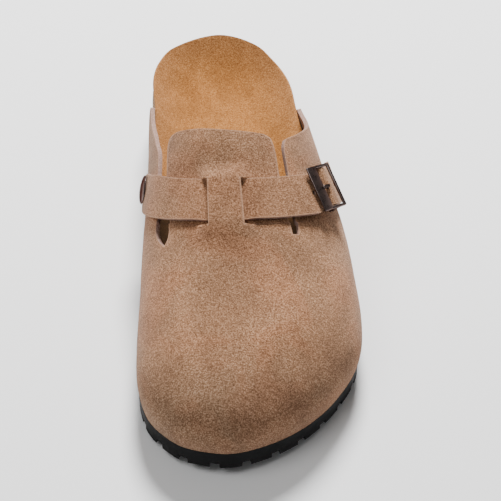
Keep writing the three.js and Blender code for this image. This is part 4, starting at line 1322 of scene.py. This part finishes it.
def make_buckle():
    """The buckle's frame: a wide plate, two arms, an outer bar and the centre bar."""
    inside = STRAP_WIDTH / 2 - STRAP_TAPER + ARM_INSIDE
    outside = inside + ARM_WIDTH
    lug = CENTRE_BAR_RADIUS + 0.8
    plate = [
        (PLATE_FROM, PLATE_LOW),
        (PLATE_TO, PLATE_LOW),
        (PLATE_TO, PLATE_HIGH),
        (PLATE_FROM, PLATE_HIGH),
    ]
    arm = [
        (ARM_FROM, PLATE_LOW),
        (-lug - 1, PLATE_LOW),
        (-lug, CENTRE_BAR_HEIGHT - lug),
        (lug, CENTRE_BAR_HEIGHT - lug),
        (lug + 1, PLATE_LOW),
        (OUTER_BAR_AT, OUTER_BAR_HEIGHT - ARM_THICKNESS / 2),
        (OUTER_BAR_AT + 0.9, OUTER_BAR_HEIGHT),
        (OUTER_BAR_AT, OUTER_BAR_HEIGHT + ARM_THICKNESS / 2),
        (0, PLATE_LOW + ARM_THICKNESS),
        (ARM_FROM, PLATE_HIGH),
    ]
    pieces = [
        profile_piece("plate", plate, -outside - ARM_SPLAY, outside + ARM_SPLAY),
        profile_piece("arm_high", arm, inside, outside, ARM_SPLAY),
        profile_piece("arm_low", arm, -outside, -inside, -ARM_SPLAY),
        bar_piece("outer_bar", OUTER_BAR_AT, OUTER_BAR_HEIGHT, OUTER_BAR_RADIUS, outside - 0.1),
        bar_piece("centre_bar", 0, CENTRE_BAR_HEIGHT, CENTRE_BAR_RADIUS, outside - 0.1),
    ]
    buckle = joined("buckle_frame_metal", pieces)
    bevelled(buckle, 0.6, 3, 40)
    smoothed(buckle, 45)
    dressed(buckle, DARK_BRONZE)
    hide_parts("buckle_frame")


def ring_piece(name, inner, outer, half):
    """A ring round the centre bar."""
    centre = (0, 0, CENTRE_BAR_HEIGHT * MM)
    ring = rod_piece(name, 32, outer, 2 * half, centre, (math.pi / 2, 0, 0), end_fill_type="NOTHING")
    modified(ring, "SOLIDIFY", thickness=(outer - inner) * MM, offset=-1)
    ring.data.transform(SEAT)
    return ring


def make_prong():
    """The prong, which comes up through the strap's hole and rests on the plate's edge."""
    inner = CENTRE_BAR_RADIUS + GAP
    top = STRAP_HUMP + STRAP_THICKNESS + GAP
    rest = PLATE_HIGH + GAP
    left = PRONG_AT - 0.65
    right = PRONG_AT + 0.65
    shaft = [
        (left, CENTRE_BAR_HEIGHT + 0.3),
        (right, CENTRE_BAR_HEIGHT + inner + 0.2),
        (right, top + 0.7),
        (right - 0.5, top + 1.2),
        (left, top + 1.2),
        (-PRONG_LENGTH + 0.6, rest + 1.0),
        (-PRONG_LENGTH, rest + 0.4),
        (-PRONG_LENGTH, rest),
        (PLATE_TO, rest),
        (left, top),
    ]
    ring = ring_piece("prong_ring", inner, inner + PRONG_THICKNESS, PRONG_WIDTH / 2)
    pin = profile_piece("prong_pin", shaft, -PRONG_WIDTH / 2, PRONG_WIDTH / 2)
    prong = joined("buckle_prong_metal", [ring, pin])
    bevelled(prong, 0.25, 3, 40)
    smoothed(prong, 45)
    dressed(prong, DARK_BRONZE)
    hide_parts("buckle_prong")


def make_tab():
    """The suede tab that holds the buckle: it lies on the upper and loops round the centre bar."""
    inner = CENTRE_BAR_RADIUS + GAP
    distances = steps(BUCKLE_AT, BUCKLE_AT + TAB_LENGTH, 1.2)
    across = np.linspace(-TAB_WIDTH / 2, TAB_WIDTH / 2, 13)
    lift = np.full(len(distances), TAB_HEIGHT + TAB_THICKNESS)
    sheet = strap_sheet(distances, np.broadcast_to(across, (len(distances), 13)), lift)
    tail = sheet_piece("tab_tail", sheet.transpose(1, 0, 2))
    solidified(tail, TAB_THICKNESS)
    loop = ring_piece("tab_loop", inner, inner + TAB_THICKNESS, TAB_WIDTH / 2)
    tab = joined("buckle_tab_suede", [tail, loop])
    bpy.ops.mesh.primitive_cube_add(
        size=1,
        location=(0, 0, CENTRE_BAR_HEIGHT * MM),
        scale=(6 * MM, SLOT_WIDTH * MM, 8 * MM),
    )
    cut_out(tab, seated(bpy.context.object, "slot"), solver="EXACT", use_self=True)
    smoothed(tab, 50)
    dressed(tab, UPPER_SUEDE)
    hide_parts("buckle_tab")


make_outsole()
make_footbed()
make_upper()
make_strap()
make_rivet()
make_buckle()
make_prong()
make_tab()


# Floor, light and camera
FLOOR_WHITE = (0.92, 0.92, 0.92, 1)
ROOM_LIGHT = 0.2
CAMERA_PLACE = (-0.09514, -0.98872, 1.10999)
CAMERA_TURN = (42.1865, -2.0263, -3.5305)
LENS = 206


def floor():
    bpy.ops.mesh.primitive_plane_add(size=6, location=(0, 0, 0))
    ground = bpy.context.object
    ground.name = "floor"
    finish = Finish("pale_floor", Roughness=0.9, Base_Color=FLOOR_WHITE)
    ground.data.materials.append(finish.material)


def soft_light(name, place, target, size, power):
    bpy.ops.object.light_add(type="AREA", location=place)
    lamp = bpy.context.object
    lamp.name = name
    lamp.data.shape = "DISK"
    lamp.data.size = size
    lamp.data.energy = power
    lamp.rotation_euler = (Vector(target) - Vector(place)).to_track_quat("-Z", "Y").to_euler()


def light():
    world = bpy.data.worlds.new("studio")
    world.use_nodes = True
    background = world.node_tree.nodes["Background"]
    background.inputs["Color"].default_value = (1, 1, 1, 1)
    background.inputs["Strength"].default_value = ROOM_LIGHT
    bpy.context.scene.world = world
    soft_light("key", (0.1, 1.0, 1.12), (0, 0, 0.03), 0.5, 65)
    soft_light("front", (-0.6, -0.4, 1.2), (0, -0.03, 0.03), 0.8, 7)


def camera():
    bpy.ops.object.camera_add(location=CAMERA_PLACE, rotation=[math.radians(turn) for turn in CAMERA_TURN])
    view = bpy.context.object
    view.name = "camera"
    view.data.sensor_width = 36
    view.data.lens = LENS
    bpy.context.scene.camera = view


floor()
light()
camera()
